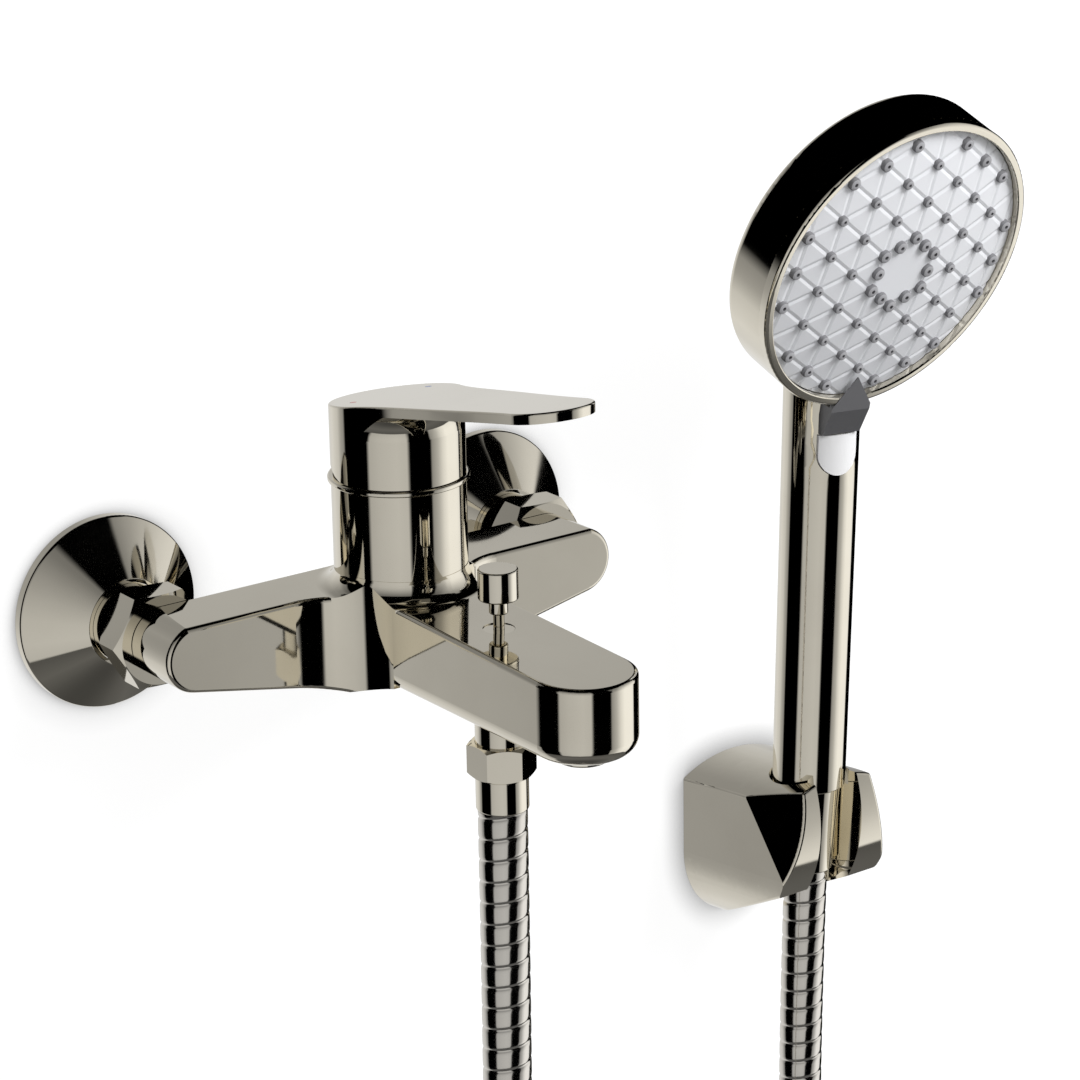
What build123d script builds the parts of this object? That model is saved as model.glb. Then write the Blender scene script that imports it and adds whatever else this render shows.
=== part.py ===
"""Wall mounted bath mixer with a hand shower, its hose and its wall bracket.

Millimetres. X runs along the wall, Y points into the wall and Z is up. The origin lies on the wall,
midway between the two inlets. A "reach" is a distance from the wall, towards the room.
"""
from build123d import *
import os
from math import acos, atan2, cos, radians, sin, sqrt, tan

# Clearances
FIT = 0.1
RUNNING = 0.05
CLEAR = 0.3
ROUND = 0.6

# Wall fittings
INLET_SPACING = 150.0
WALL_THREAD_R = 10.48
WALL_THREAD_LENGTH = 15.0
UNION_THREAD_R = 13.2
UNION_BORE_R = 7.0
UNION_REACH = 31.0
ESCUTCHEON_R = 32.2
ESCUTCHEON_RIM = 3.3
ESCUTCHEON_DEPTH = 16.5
ESCUTCHEON_NECK_R = 14.6
ESCUTCHEON_WALL = 1.5
UNION_NUT_ACROSS = 30.0
UNION_NUT_REACH = 26.0
UNION_NUT_LIP = 2.6
INLET_WASHER = 2.0
TAIL_FLANGE_R = 12.6
TAIL_FLANGE = 2.0
TAIL_NECK_R = 9.8
TAIL_THREAD_R = 8.5
TAIL_THREAD_LENGTH = 8.0
TAIL_BORE_R = 6.0

# Cast body
ARM_DEPTH = 22.0
ARM_END_R = 11.3
KEEL_DEPTH = 26.5
EDGE_ROUND = 1.5
TOP_FALL = 1.7
COLUMN_REACH = 62.4
COLUMN_R = 21.7
COLUMN_TOP = 45.2
COLUMN_FOOT = 6.0
CORNER_R = 22.0
CORNER_RAMP = 15.0
SPOUT_REACH = 176.0
SPOUT_HALF_WIDTH = 17.2
SPOUT_BOTTOM = -18.5
SPOUT_BOTTOM_ROUND = 6.0
WATERWAY_R = 5.2
SPOUT_CHANNEL_R = 6.5
SPOUT_CHANNEL_Z = -5.0

# Cartridge
CARTRIDGE_R = 17.5
CARTRIDGE_WALL = 1.0
CARTRIDGE_SEAT = 18.0
CARTRIDGE_BASE = 6.0
PORT_R = 3.8
PORT_X = 7.4
PORT_BACK = 8.0
MIXED_PORT_FORWARD = 8.0
PORT_SEAL_R = 5.2
PORT_SEAL = 1.2
FIXED_DISC = 3.5
MOVING_DISC_R = 10.2
MOVING_DISC = 2.9
CARRIER_PLATE = 1.7
HOUSING_SHOULDER = 1.6
NECK_R = 13.4
NECK_BORE_R = 11.9
NECK_TOP = 44.0
CLAMP_NUT_R = 19.2
CLAMP_NUT = 4.3
CLAMP_NOTCH = 4.0
COLLAR_LIP = 0.8
PIVOT_Z = 52.0
PIVOT_PIN_R = 1.6
PIVOT_PIN_LENGTH = 19.0
SPINDLE_ARM = 16.0
SPINDLE_SIDE = 6.4
SPINDLE_STEM_R = 2.2
SPINDLE_BALL_R = 3.2
SPINDLE_TOP = 66.0
TURNER_TOP = 55.0
TURNER_HEAD_R = 10.0
TURNER_FLANGE_R = 12.6
TURNER_FLANGE = 1.6
LEVER_LIFT = 20.0

# Trim ring and lever
TRIM_RING_R = 22.8
TRIM_RING = 1.8
TRIM_RING_BORE_R = 21.0
LEVER_WALL = 2.8
LEVER_TOP = 72.5
LEVER_RISE = 10.2
LEVER_PLATE = 3.3
LEVER_CEILING = 4.0
LEVER_REACH = 95.5
LEVER_TIP_R = 13.9
LEVER_LEAVES_CAP = 19.0
LEVER_WAIST_HALF = 16.8
LEVER_WAIST_FORWARD = 36.0
LEVER_UNDER_ROUND = 12.0
LEVER_BOSS_R = 6.0
LEVER_BOSS_BOTTOM = 59.0
LEVER_SCREW_R = 2.0
LEVER_SCREW_LENGTH = 5.0
SCREW_PLUG_R = 2.6
INDEX_DOT_R = 1.0
INDEX_DOT_DEPTH = 1.2
INDEX_DOT_X = 14.4
INDEX_DOT_FORWARD = -3.0

# Diverter in the spout
DIVERTER_REACH = 116.0
DIVERTER_TRAVEL = 8.0
DIVERTER_STEM_R = 1.75
DIVERTER_BUSH_R = 5.0
DIVERTER_BUSH = 5.5
DIVERTER_CHAMBER_R = 7.4
PLUNGER_R = 6.4
PLUNGER = 3.0
PLUNGER_TOP = -6.0
KNOB_R = 6.4
KNOB_BOTTOM = 18.8
KNOB_HEIGHT = 9.9
KNOB_NECK_R = 3.0
KNOB_NECK = 4.8

# Aerator
AERATOR_R = 8.2
AERATOR_WALL = 1.3
AERATOR_LENGTH = 9.5
AERATOR_SHOWS = 2.6
AERATOR_SEAL = 1.4
AERATOR_LIP = 0.8

# Shower outlet and hose
HOSE_THREAD_R = 8.33
HOSE_THREAD_BORE_R = 5.0
NIPPLE_ROOT_R = 7.3
NIPPLE_ROOT = 6.5
NIPPLE_BOTTOM = -35.0
HOSE_NUT_ACROSS = 19.2
HOSE_NUT_TURN = 30.0
HOSE_NUT_TOP = -28.5
HOSE_NUT_BOTTOM = -39.5
HOSE_WASHER = 1.6
FERRULE_FLANGE = 1.5
FERRULE_NECK_R = 6.5
SLEEVE_R = 8.5
SLEEVE_BOTTOM = -51.0
HOSE_R = 8.0
HOSE_ROOT_R = 7.1
HOSE_BORE_R = 5.4
HOSE_PITCH = 7.3
HOSE_CREST_SHARE = 0.5
HOSE_FLANK_SHARE = 0.2

# Hand shower, measured in its own upright frame from the foot of its handle
HANDSET_X = 189.1
HANDSET_REACH = 43.5
HANDLE_BOTTOM = -113.5
HANDSET_LEAN = 2.1
HANDLE_FOOT_R = 13.4
HANDLE_TOP_R = 13.9
HANDLE_LENGTH = 188.0
HANDLE_BORE_R = 11.2
HANDLE_BACK_DROP = 55.7
HANDLE_BACK_ANGLE = 27.6
CONE_NUT_TOP_R = 11.6
CONE_NUT_FOOT_R = 9.7
CONE_NUT_LENGTH = 33.7
CONE_NUT_LIP = 2.0
CONNECTOR_THREAD = 10.8
CONNECTOR_PLUG = 12.0
TUBE_R = 6.0
TUBE_BORE_R = 4.6
TUBE_DROP = 39.7
HEAD_R = 55.7
HEAD_BACK = 21.5
HEAD_WALL = 2.5
HEAD_BACK_ROUND = 3.0
HEAD_FORWARD = 35.5
HEAD_HEIGHT = 203.7
HEAD_TILT = 18.5
RIM_WIDTH = 3.2
RIM_SEAT = 3.0
RIM_PROUD = 1.3
RIM_ROUND = 1.2
PLATE_EDGE = -1.4
PLATE_DOME = 5.0
PLATE_BACK = -3.4
NOZZLE_MAT = 2.0
NOZZLE_PROUD = 1.8
NOZZLE_PITCH = 13.4
NOZZLE_TURN = 23.0
NOZZLE_R = 1.75
OUTER_NOZZLE_R = 2.2
JET_R = 0.5
INNER_NOZZLE_R = 2.3
WATER_GUIDE = 4.0
SELECTOR_WIDTH = 15.0
SELECTOR_TURN = -12.0
SELECTOR_DROP = 65.7
SELECTOR_HEIGHT = 15.0
SELECTOR_DEPTH = 4.0
SELECTOR_PROUD = 0.5
SELECTOR_TRAVEL = 2.0
BEZEL_ON_FACE = 12.0
BEZEL_PROUD = 3.4

# Wall bracket
BRACKET_HALF_WIDTH = 24.0
BRACKET_TOP = -114.0
BRACKET_SHOULDER = -120.5
BRACKET_FLANK_END = -150.0
BRACKET_FOOT = -179.0
BRACKET_REACH = 62.0
BRACKET_TOP_RISE = 6.9
BRACKET_NOSE_R = 48.0
BRACKET_NOSE_Z = -125.0
BRACKET_UNDER_DROP = 0.7
BRACKET_UNDER_RISE = 28.1
BRACKET_ROUND = 1.2
BRACKET_SLOT = 19.6
BRACKET_SEAT_ROOM = 1.2
BRACKET_FACET_BACK = 36.0
BRACKET_FACET_Z = -116.0
BRACKET_FACET_TURN = 15.4
BRACKET_FACET_LEAN = 12.7
BRACKET_WALL = 3.4
BRACKET_HOLLOW = 15.0
BRACKET_BASE = 4.0
SCREW_SPACING = 26.0
SCREW_HIGH_Z = -131.0
SCREW_R = 1.9
SCREW_HEAD_R = 3.9
SCREW_LENGTH = 32.0
PLUG_R = 3.0
PLUG_LENGTH = 28.0

# Hose route from the sleeve under the spout to the cone nut of the hand shower
HOSE_ROUTE = [
    (0.0, -116.0, -51.0),
    (0.0, -116.0, -150.0),
    (-3.7, -117.5, -290.0),
    (-8.4, -119.3, -405.0),
    (-6.5, -118.5, -485.0),
    (12.1, -111.3, -548.0),
    (48.5, -97.1, -594.0),
    (96.0, -78.6, -611.0),
    (143.5, -60.1, -597.0),
    (180.8, -44.6, -553.0),
    (198.5, -37.7, -491.0),
    (198.5, -36.7, -416.0),
    (192.5, -37.6, -318.0),
    (189.1, -39.15, -232.0),
    (189.1, -42.26, -147.18),
]

# Places that follow from the sizes above
INLET_X = INLET_SPACING / 2
TAIL_FLANGE_REACH = UNION_REACH + INLET_WASHER
LIP_REACH = TAIL_FLANGE_REACH + TAIL_FLANGE + FIT
UNION_NUT_FRONT = LIP_REACH + UNION_NUT_LIP
ARM_BACK = UNION_NUT_FRONT + CLEAR
ARM_FRONT = ARM_BACK + ARM_DEPTH
NOSE_REACH = SPOUT_REACH - SPOUT_HALF_WIDTH
FIXED_DISC_Z = CARTRIDGE_SEAT + CARTRIDGE_BASE
MOVING_DISC_Z = FIXED_DISC_Z + FIXED_DISC + RUNNING
CARRIER_Z = MOVING_DISC_Z + MOVING_DISC
SHOULDER_Z = CARRIER_Z + CARRIER_PLATE + CLEAR
CLAMP_NUT_Z = SHOULDER_Z + HOUSING_SHOULDER
BALL_Z = PIVOT_Z - SPINDLE_ARM
UPSTAND_TOP = BALL_Z + 2.5
TURNER_BOTTOM = UPSTAND_TOP + CLEAR
TRIM_RING_TOP = COLUMN_TOP + TRIM_RING
LEVER_BOTTOM = TRIM_RING_TOP + CLEAR
CAP_R = COLUMN_R
SPINDLE_SWING = sin(radians(LEVER_LIFT))
HANDLE_BACK_CUT = HEAD_HEIGHT - HANDLE_BACK_DROP
TUBE_TOP = HEAD_HEIGHT - TUBE_DROP
SELECTOR_SPLIT = HEAD_HEIGHT - SELECTOR_DROP
SELECTOR_FOOT = SELECTOR_SPLIT - SELECTOR_HEIGHT
PLATE_R = HEAD_R - RIM_WIDTH - FIT
UPSTAND_R = NECK_BORE_R - SPINDLE_ARM * radians(LEVER_LIFT) - CLEAR
BUSH_TOP_DROP = 0.2
FLANGE_BOTTOM = NIPPLE_BOTTOM - HOSE_WASHER - FERRULE_FLANGE
SCREW_HOLES = [SCREW_HIGH_Z, SCREW_HIGH_Z - SCREW_SPACING]

COLUMN = Pos(0, -COLUMN_REACH, 0)
DIVERTER = Pos(0, -DIVERTER_REACH, 0)
AERATOR = Pos(0, -NOSE_REACH, 0)
HANDSET = Pos(HANDSET_X, -HANDSET_REACH, HANDLE_BOTTOM) * Rot(HANDSET_LEAN, 0, 0)
HEAD = HANDSET * Pos(0, -HEAD_FORWARD, HEAD_HEIGHT) * Rot(90 + HEAD_TILT, 0, 0)


def top_z(reach):
    """Height of the body's gently falling top at a reach."""
    return ARM_END_R - (reach - ARM_BACK) * tan(radians(TOP_FALL))


def turned(*profile):
    """Solid of revolution about Z from corners (radius, height) or (radius, height, rounding)."""
    face = make_face(Polyline(*[(corner[0], corner[1]) for corner in profile], close=True))
    for corner in profile:
        if len(corner) == 3:
            vertex = face.vertices().sort_by_distance((corner[0], corner[1], 0))[0]
            face = fillet(vertex, corner[2])
    return revolve(Plane.XZ * face, Axis.Z)


def rod(radius, low, high):
    """Upright cylinder between two heights."""
    return Pos(0, 0, (low + high) / 2) * Cylinder(radius, high - low)


def sleeve(outer, inner, low, high):
    """Upright tube between two heights."""
    return rod(outer, low, high) - rod(inner, low - 1, high + 1)


def out_of_wall(shape):
    """Turns a shape so that its height becomes its reach."""
    return Rot(90, 0, 0) * shape


def hexagon(across, low, high):
    """Upright hexagonal bar with both ends chamfered."""
    corner_r = across / sqrt(3)
    face_r = across / 2 * 0.98
    drop = (corner_r + 1 - face_r) * tan(radians(30))
    envelope = turned(
        (0, low),
        (face_r, low),
        (corner_r + 1, low + drop),
        (corner_r + 1, high - drop),
        (face_r, high),
        (0, high),
    )
    bar = extrude(RegularPolygon(across / 2, 6, major_radius=False), high - low)
    return Pos(0, 0, low) * bar & envelope


def side_prism(corners, half_width):
    """Solid with an outline of (y, z) corners, as wide as twice the half width."""
    return extrude(Plane.YZ * make_face(Polyline(*corners, close=True)), half_width, both=True)


# Wall fittings, each made along Z and then turned out of the wall
def wall_union():
    """Nipple that screws into the wall and takes the union nut."""
    return out_of_wall(
        turned(
            (UNION_BORE_R, -WALL_THREAD_LENGTH),
            (WALL_THREAD_R, -WALL_THREAD_LENGTH, ROUND),
            (WALL_THREAD_R, 0),
            (UNION_THREAD_R, 0),
            (UNION_THREAD_R, UNION_REACH, ROUND),
            (UNION_BORE_R, UNION_REACH),
        )
    )


def escutcheon():
    """Conical cover over the hole in the wall."""
    bore = UNION_THREAD_R + FIT
    inner_rim = ESCUTCHEON_R - ESCUTCHEON_WALL
    return out_of_wall(
        turned(
            (inner_rim, 0),
            (ESCUTCHEON_R, 0),
            (ESCUTCHEON_R, ESCUTCHEON_RIM, 1.2),
            (ESCUTCHEON_NECK_R, ESCUTCHEON_DEPTH, 0.5),
            (bore, ESCUTCHEON_DEPTH),
            (bore, ESCUTCHEON_DEPTH - ESCUTCHEON_WALL),
            (inner_rim, ESCUTCHEON_RIM - ESCUTCHEON_WALL / 2),
        )
    )


def union_nut():
    """Captive hexagonal nut that pulls the tail onto the union."""
    nut = hexagon(UNION_NUT_ACROSS, UNION_NUT_REACH, UNION_NUT_FRONT)
    nut -= rod(UNION_THREAD_R + FIT, UNION_NUT_REACH - 1, LIP_REACH)
    nut -= rod(TAIL_NECK_R + FIT, LIP_REACH - 1, UNION_NUT_FRONT + 1)
    return out_of_wall(nut)


def inlet_tail():
    """Flanged nipple screwed into the back of the arm."""
    return out_of_wall(
        turned(
            (TAIL_BORE_R, TAIL_FLANGE_REACH),
            (TAIL_FLANGE_R, TAIL_FLANGE_REACH),
            (TAIL_FLANGE_R, TAIL_FLANGE_REACH + TAIL_FLANGE),
            (TAIL_NECK_R, TAIL_FLANGE_REACH + TAIL_FLANGE),
            (TAIL_NECK_R, ARM_BACK),
            (TAIL_THREAD_R, ARM_BACK),
            (TAIL_THREAD_R, ARM_BACK + TAIL_THREAD_LENGTH),
            (TAIL_BORE_R, ARM_BACK + TAIL_THREAD_LENGTH),
        )
    )


def inlet_washer():
    """Flat washer between union and tail."""
    return out_of_wall(sleeve(TAIL_FLANGE_R, UNION_BORE_R, UNION_REACH, TAIL_FLANGE_REACH))


# Cast body
def front_outline():
    """Outline of the two arms seen from the room: level on top, falling to the middle below."""
    to_keel = atan2(-KEEL_DEPTH, INLET_X)
    opening = acos(ARM_END_R / sqrt(INLET_X**2 + KEEL_DEPTH**2))
    touch_x = INLET_X - ARM_END_R * cos(to_keel - opening)
    touch_z = ARM_END_R * sin(to_keel - opening)
    top = Line((-INLET_X, ARM_END_R), (INLET_X, ARM_END_R))
    right = ThreePointArc((INLET_X, ARM_END_R), (INLET_X + ARM_END_R, 0), (touch_x, touch_z))
    keel = Polyline((touch_x, touch_z), (0, -KEEL_DEPTH), (-touch_x, touch_z))
    left = ThreePointArc((-touch_x, touch_z), (-INLET_X - ARM_END_R, 0), (-INLET_X, ARM_END_R))
    return make_face(top + right + keel + left)


def corner_plan():
    """Plan of the concave corners where the spout grows out of the arms."""
    out = SPOUT_HALF_WIDTH + CORNER_R
    ahead = ARM_FRONT + CORNER_R
    mid = CORNER_R * (1 - sqrt(0.5))
    back = Line((-out, -ARM_FRONT), (out, -ARM_FRONT))
    right = ThreePointArc(
        (out, -ARM_FRONT), (SPOUT_HALF_WIDTH + mid, -ARM_FRONT - mid), (SPOUT_HALF_WIDTH, -ahead)
    )
    front = Line((SPOUT_HALF_WIDTH, -ahead), (-SPOUT_HALF_WIDTH, -ahead))
    left = ThreePointArc(
        (-SPOUT_HALF_WIDTH, -ahead), (-SPOUT_HALF_WIDTH - mid, -ARM_FRONT - mid), (-out, -ARM_FRONT)
    )
    return make_face(back + right + front + left)


def spout_block():
    """Spout with a round nose, a level underside and rounded lower edges."""
    length = NOSE_REACH - COLUMN_REACH
    plan = Pos(0, -COLUMN_REACH - length / 2) * Rectangle(2 * SPOUT_HALF_WIDTH, length)
    plan += Pos(0, -NOSE_REACH) * Circle(SPOUT_HALF_WIDTH)
    side = side_prism(
        [
            (-COLUMN_REACH, top_z(COLUMN_REACH)),
            (-SPOUT_REACH - 1, top_z(SPOUT_REACH + 1)),
            (-SPOUT_REACH - 1, SPOUT_BOTTOM),
            (-COLUMN_REACH, SPOUT_BOTTOM),
        ],
        SPOUT_HALF_WIDTH,
    )
    spout = extrude(Pos(0, 0, SPOUT_BOTTOM - 1) * plan, ARM_END_R - SPOUT_BOTTOM + 2) & side
    ahead = spout.edges().filter_by(lambda edge: edge.center().Y < -COLUMN_REACH - 1)
    lower = ahead.filter_by(lambda edge: edge.bounding_box().max.Z < SPOUT_BOTTOM + 0.01)
    return fillet(lower, SPOUT_BOTTOM_ROUND)


def waterways():
    """Everything that is bored or cored out of the body."""
    cut = Pos(0, -(COLUMN_REACH + NOSE_REACH) / 2, SPOUT_CHANNEL_Z) * Rot(90, 0, 0) * Cylinder(
        SPOUT_CHANNEL_R, NOSE_REACH - COLUMN_REACH
    )
    cut += COLUMN * Pos(0, -MIXED_PORT_FORWARD, 0) * rod(PORT_R, SPOUT_CHANNEL_Z, CARTRIDGE_SEAT)
    port_reach = COLUMN_REACH - PORT_BACK
    arm_middle = (ARM_BACK + ARM_FRONT) / 2
    length = INLET_X - PORT_X
    for side in (-1, 1):
        inlet = rod(TAIL_THREAD_R + FIT, ARM_BACK - 1, ARM_BACK + TAIL_THREAD_LENGTH)
        inlet += rod(WATERWAY_R, ARM_BACK, arm_middle)
        cut += Pos(side * INLET_X, 0, 0) * out_of_wall(inlet)
        across = Pos(side * (PORT_X + length / 2), -arm_middle, 0)
        cut += across * Rot(0, 90, 0) * Cylinder(WATERWAY_R, length)
        cut += Pos(side * PORT_X, -port_reach, 0) * rod(PORT_R, 0, CARTRIDGE_SEAT)
    clamp_top = CLAMP_NUT_Z + CLAMP_NUT
    clamp_bore = CLAMP_NUT_R + FIT
    collar_bore = COLUMN_R - COLLAR_LIP
    cut += COLUMN * rod(CARTRIDGE_R + FIT, CARTRIDGE_SEAT, CLAMP_NUT_Z)
    cut += COLUMN * rod(clamp_bore, CLAMP_NUT_Z, clamp_top)
    cut += COLUMN * turned(
        (0, clamp_top), (clamp_bore, clamp_top), (collar_bore, COLUMN_TOP), (0, COLUMN_TOP)
    )
    bush_top = top_z(DIVERTER_REACH) - BUSH_TOP_DROP
    chamber_bottom = SPOUT_BOTTOM + NIPPLE_ROOT
    cut += DIVERTER * rod(DIVERTER_BUSH_R + FIT, bush_top - DIVERTER_BUSH, ARM_END_R)
    cut += DIVERTER * rod(DIVERTER_CHAMBER_R, chamber_bottom, bush_top - DIVERTER_BUSH)
    cut += DIVERTER * rod(NIPPLE_ROOT_R + FIT, SPOUT_BOTTOM - 1, chamber_bottom)
    seat = SPOUT_BOTTOM + AERATOR_LENGTH - AERATOR_SHOWS
    cut += AERATOR * rod(AERATOR_R + FIT, SPOUT_BOTTOM - 1, seat + AERATOR_SEAL)
    cut += AERATOR * rod(AERATOR_R - 2 * AERATOR_WALL, seat, SPOUT_CHANNEL_Z)
    return cut


def rim_edges(block):
    """Edges of the arms' front faces; the rim of the spout's top runs on from them."""
    fronts = block.faces().filter_by(lambda face: abs(face.center().Y + ARM_FRONT) < FIT)
    arm_fronts = fronts.filter_by(lambda face: abs(face.center().X) > SPOUT_HALF_WIDTH)
    upright = arm_fronts.edges().filter_by(Axis.Z)
    return arm_fronts.edges() - upright


def mixer_body():
    """One hollow casting: two arms, the column for the cartridge and the spout."""
    outline = Plane.XZ * front_outline()
    arms = Pos(0, -ARM_BACK, 0) * extrude(outline, ARM_DEPTH)
    corners = extrude(Pos(0, 0, -KEEL_DEPTH) * corner_plan(), KEEL_DEPTH + ARM_END_R)
    corners &= Pos(0, -ARM_BACK, 0) * extrude(outline, ARM_DEPTH + CORNER_R)
    ramp_end = ARM_FRONT + CORNER_R + 1
    ramp_z = SPOUT_BOTTOM + SPOUT_BOTTOM_ROUND / 4
    ramp_start_z = ramp_z - (ramp_end - ARM_FRONT) * tan(radians(CORNER_RAMP))
    below = -KEEL_DEPTH - 9
    ramp = [(-ramp_end, ramp_z), (-ARM_FRONT, ramp_start_z), (-ARM_FRONT, below), (-ramp_end, below)]
    corners -= side_prism(ramp, SPOUT_HALF_WIDTH + CORNER_R + 1)
    above_top = side_prism(
        [
            (0, top_z(0)),
            (-SPOUT_REACH, top_z(SPOUT_REACH)),
            (-SPOUT_REACH, COLUMN_TOP + 1),
            (0, COLUMN_TOP + 1),
        ],
        INLET_SPACING,
    )
    block = arms + corners - above_top + spout_block()
    block = fillet(rim_edges(block), EDGE_ROUND)
    column_top_z = top_z(COLUMN_REACH)
    foot = turned(
        (COLUMN_R - 1, -2),
        (COLUMN_R + COLUMN_FOOT, -2),
        (COLUMN_R + COLUMN_FOOT, 0),
        (COLUMN_R, 0, COLUMN_FOOT),
        (COLUMN_R, COLUMN_FOOT + 1),
        (COLUMN_R - 1, COLUMN_FOOT + 1),
    )
    plan = corner_plan() + Pos(0, -(ARM_BACK + ARM_FRONT) / 2) * Rectangle(2 * INLET_X, ARM_DEPTH)
    plan += Pos(0, -(ARM_FRONT + NOSE_REACH) / 2) * Rectangle(2 * SPOUT_HALF_WIDTH, NOSE_REACH - ARM_FRONT)
    foot = Pos(0, -COLUMN_REACH, column_top_z) * Rot(TOP_FALL, 0, 0) * foot
    foot &= extrude(plan, COLUMN_TOP)
    column = COLUMN * rod(COLUMN_R, column_top_z - COLUMN_FOOT, COLUMN_TOP)
    return block + column + foot - waterways()


# Cartridge
def ports(low, high):
    """The hot, cold and mixed water holes through the cartridge's base and fixed disc."""
    holes = Pos(0, -MIXED_PORT_FORWARD, 0) * rod(PORT_R, low, high)
    for side in (-1, 1):
        holes += Pos(side * PORT_X, PORT_BACK, 0) * rod(PORT_R, low, high)
    return holes


def port_seals(clearance):
    """Rings under the cartridge's three ports, each a separate solid."""
    ring = sleeve(PORT_SEAL_R + clearance, PORT_R, CARTRIDGE_SEAT, CARTRIDGE_SEAT + PORT_SEAL)
    spots = [(0, -MIXED_PORT_FORWARD), (-PORT_X, PORT_BACK), (PORT_X, PORT_BACK)]
    return [COLUMN * Pos(x, y, 0) * ring for x, y in spots]


def cartridge_base():
    """Plastic bottom of the cartridge with grooves for the seals."""
    base = rod(CARTRIDGE_R, CARTRIDGE_SEAT, FIXED_DISC_Z)
    base = COLUMN * (base - ports(CARTRIDGE_SEAT - 1, FIXED_DISC_Z + 1))
    for ring in port_seals(FIT):
        base -= ring
    return base


def fixed_disc():
    """Ceramic disc that stays with the base."""
    disc = rod(CARTRIDGE_R - CARTRIDGE_WALL - FIT, FIXED_DISC_Z, FIXED_DISC_Z + FIXED_DISC)
    return COLUMN * (disc - ports(FIXED_DISC_Z - 1, MOVING_DISC_Z + 1))


def moving_disc():
    """Ceramic disc that slides over the ports, hollow underneath."""
    disc = rod(MOVING_DISC_R, MOVING_DISC_Z, CARRIER_Z)
    return COLUMN * (disc - rod(MOVING_DISC_R - 3, MOVING_DISC_Z - 1, MOVING_DISC_Z + MOVING_DISC / 2))


def disc_carrier():
    """Plastic carrier that the spindle's ball pushes about."""
    carrier = rod(MOVING_DISC_R, CARRIER_Z, CARRIER_Z + CARRIER_PLATE)
    carrier += rod(UPSTAND_R, CARRIER_Z, UPSTAND_TOP)
    return COLUMN * (carrier - rod(SPINDLE_BALL_R + CLEAR, BALL_Z - SPINDLE_BALL_R - CLEAR, UPSTAND_TOP + 1))


def cartridge_housing():
    """Cartridge body with its shoulder and neck."""
    inner = CARTRIDGE_R - CARTRIDGE_WALL
    return COLUMN * turned(
        (inner, FIXED_DISC_Z),
        (CARTRIDGE_R, FIXED_DISC_Z),
        (CARTRIDGE_R, CLAMP_NUT_Z),
        (NECK_R, CLAMP_NUT_Z),
        (NECK_R, NECK_TOP),
        (NECK_BORE_R, NECK_TOP),
        (NECK_BORE_R, SHOULDER_Z),
        (inner, SHOULDER_Z),
    )


def clamp_nut():
    """Threaded ring with spanner notches that holds the cartridge down."""
    top = CLAMP_NUT_Z + CLAMP_NUT
    ring = sleeve(CLAMP_NUT_R, NECK_R + FIT, CLAMP_NUT_Z, top)
    notch = Pos(CLAMP_NUT_R, 0, top) * Box(2 * (CLAMP_NUT_R - NECK_R) - 3, CLAMP_NOTCH, CLAMP_NUT)
    for quarter in range(4):
        ring -= Rot(0, 0, 90 * quarter) * notch
    return COLUMN * ring


def turner():
    """Turning core in the cartridge's neck that carries the lever's pivot pin."""
    core = turned(
        (0, TURNER_BOTTOM),
        (NECK_BORE_R - CLEAR, TURNER_BOTTOM),
        (NECK_BORE_R - CLEAR, NECK_TOP + CLEAR),
        (TURNER_FLANGE_R, NECK_TOP + CLEAR),
        (TURNER_FLANGE_R, NECK_TOP + CLEAR + TURNER_FLANGE),
        (TURNER_HEAD_R, NECK_TOP + CLEAR + TURNER_FLANGE),
        (TURNER_HEAD_R, TURNER_TOP, ROUND),
        (0, TURNER_TOP),
    )
    half = SPINDLE_SIDE / 2 + CLEAR
    ahead = half / cos(radians(LEVER_LIFT)) + (PIVOT_Z - TURNER_BOTTOM) * SPINDLE_SWING + CLEAR
    behind = half + (TURNER_TOP - PIVOT_Z) * SPINDLE_SWING + CLEAR
    slot = Box(2 * half, ahead + behind, TURNER_TOP - TURNER_BOTTOM + 2)
    core -= Pos(0, (behind - ahead) / 2, (TURNER_TOP + TURNER_BOTTOM) / 2) * slot
    core -= Pos(0, 0, PIVOT_Z) * Rot(0, 90, 0) * Cylinder(PIVOT_PIN_R + RUNNING, 2 * TURNER_HEAD_R)
    return COLUMN * core


def pivot_pin():
    """Pin that the spindle rocks on."""
    return COLUMN * Pos(0, 0, PIVOT_Z) * Rot(0, 90, 0) * Cylinder(PIVOT_PIN_R, PIVOT_PIN_LENGTH)


def lever_spindle():
    """Square spindle with a ball foot."""
    low = TURNER_BOTTOM + CLEAR
    bar = Pos(0, 0, (low + SPINDLE_TOP) / 2) * Box(SPINDLE_SIDE, SPINDLE_SIDE, SPINDLE_TOP - low)
    bar += rod(SPINDLE_STEM_R, BALL_Z, low + 1) + Pos(0, 0, BALL_Z) * Sphere(SPINDLE_BALL_R)
    bar -= Pos(0, 0, PIVOT_Z) * Rot(0, 90, 0) * Cylinder(PIVOT_PIN_R + RUNNING, 2 * SPINDLE_SIDE)
    return COLUMN * bar


# Trim ring and lever
def trim_ring():
    """Bright ring between column and lever."""
    return COLUMN * turned(
        (TRIM_RING_BORE_R, COLUMN_TOP),
        (TRIM_RING_R, COLUMN_TOP, ROUND),
        (TRIM_RING_R, TRIM_RING_TOP, ROUND),
        (TRIM_RING_BORE_R, TRIM_RING_TOP),
    )


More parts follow.
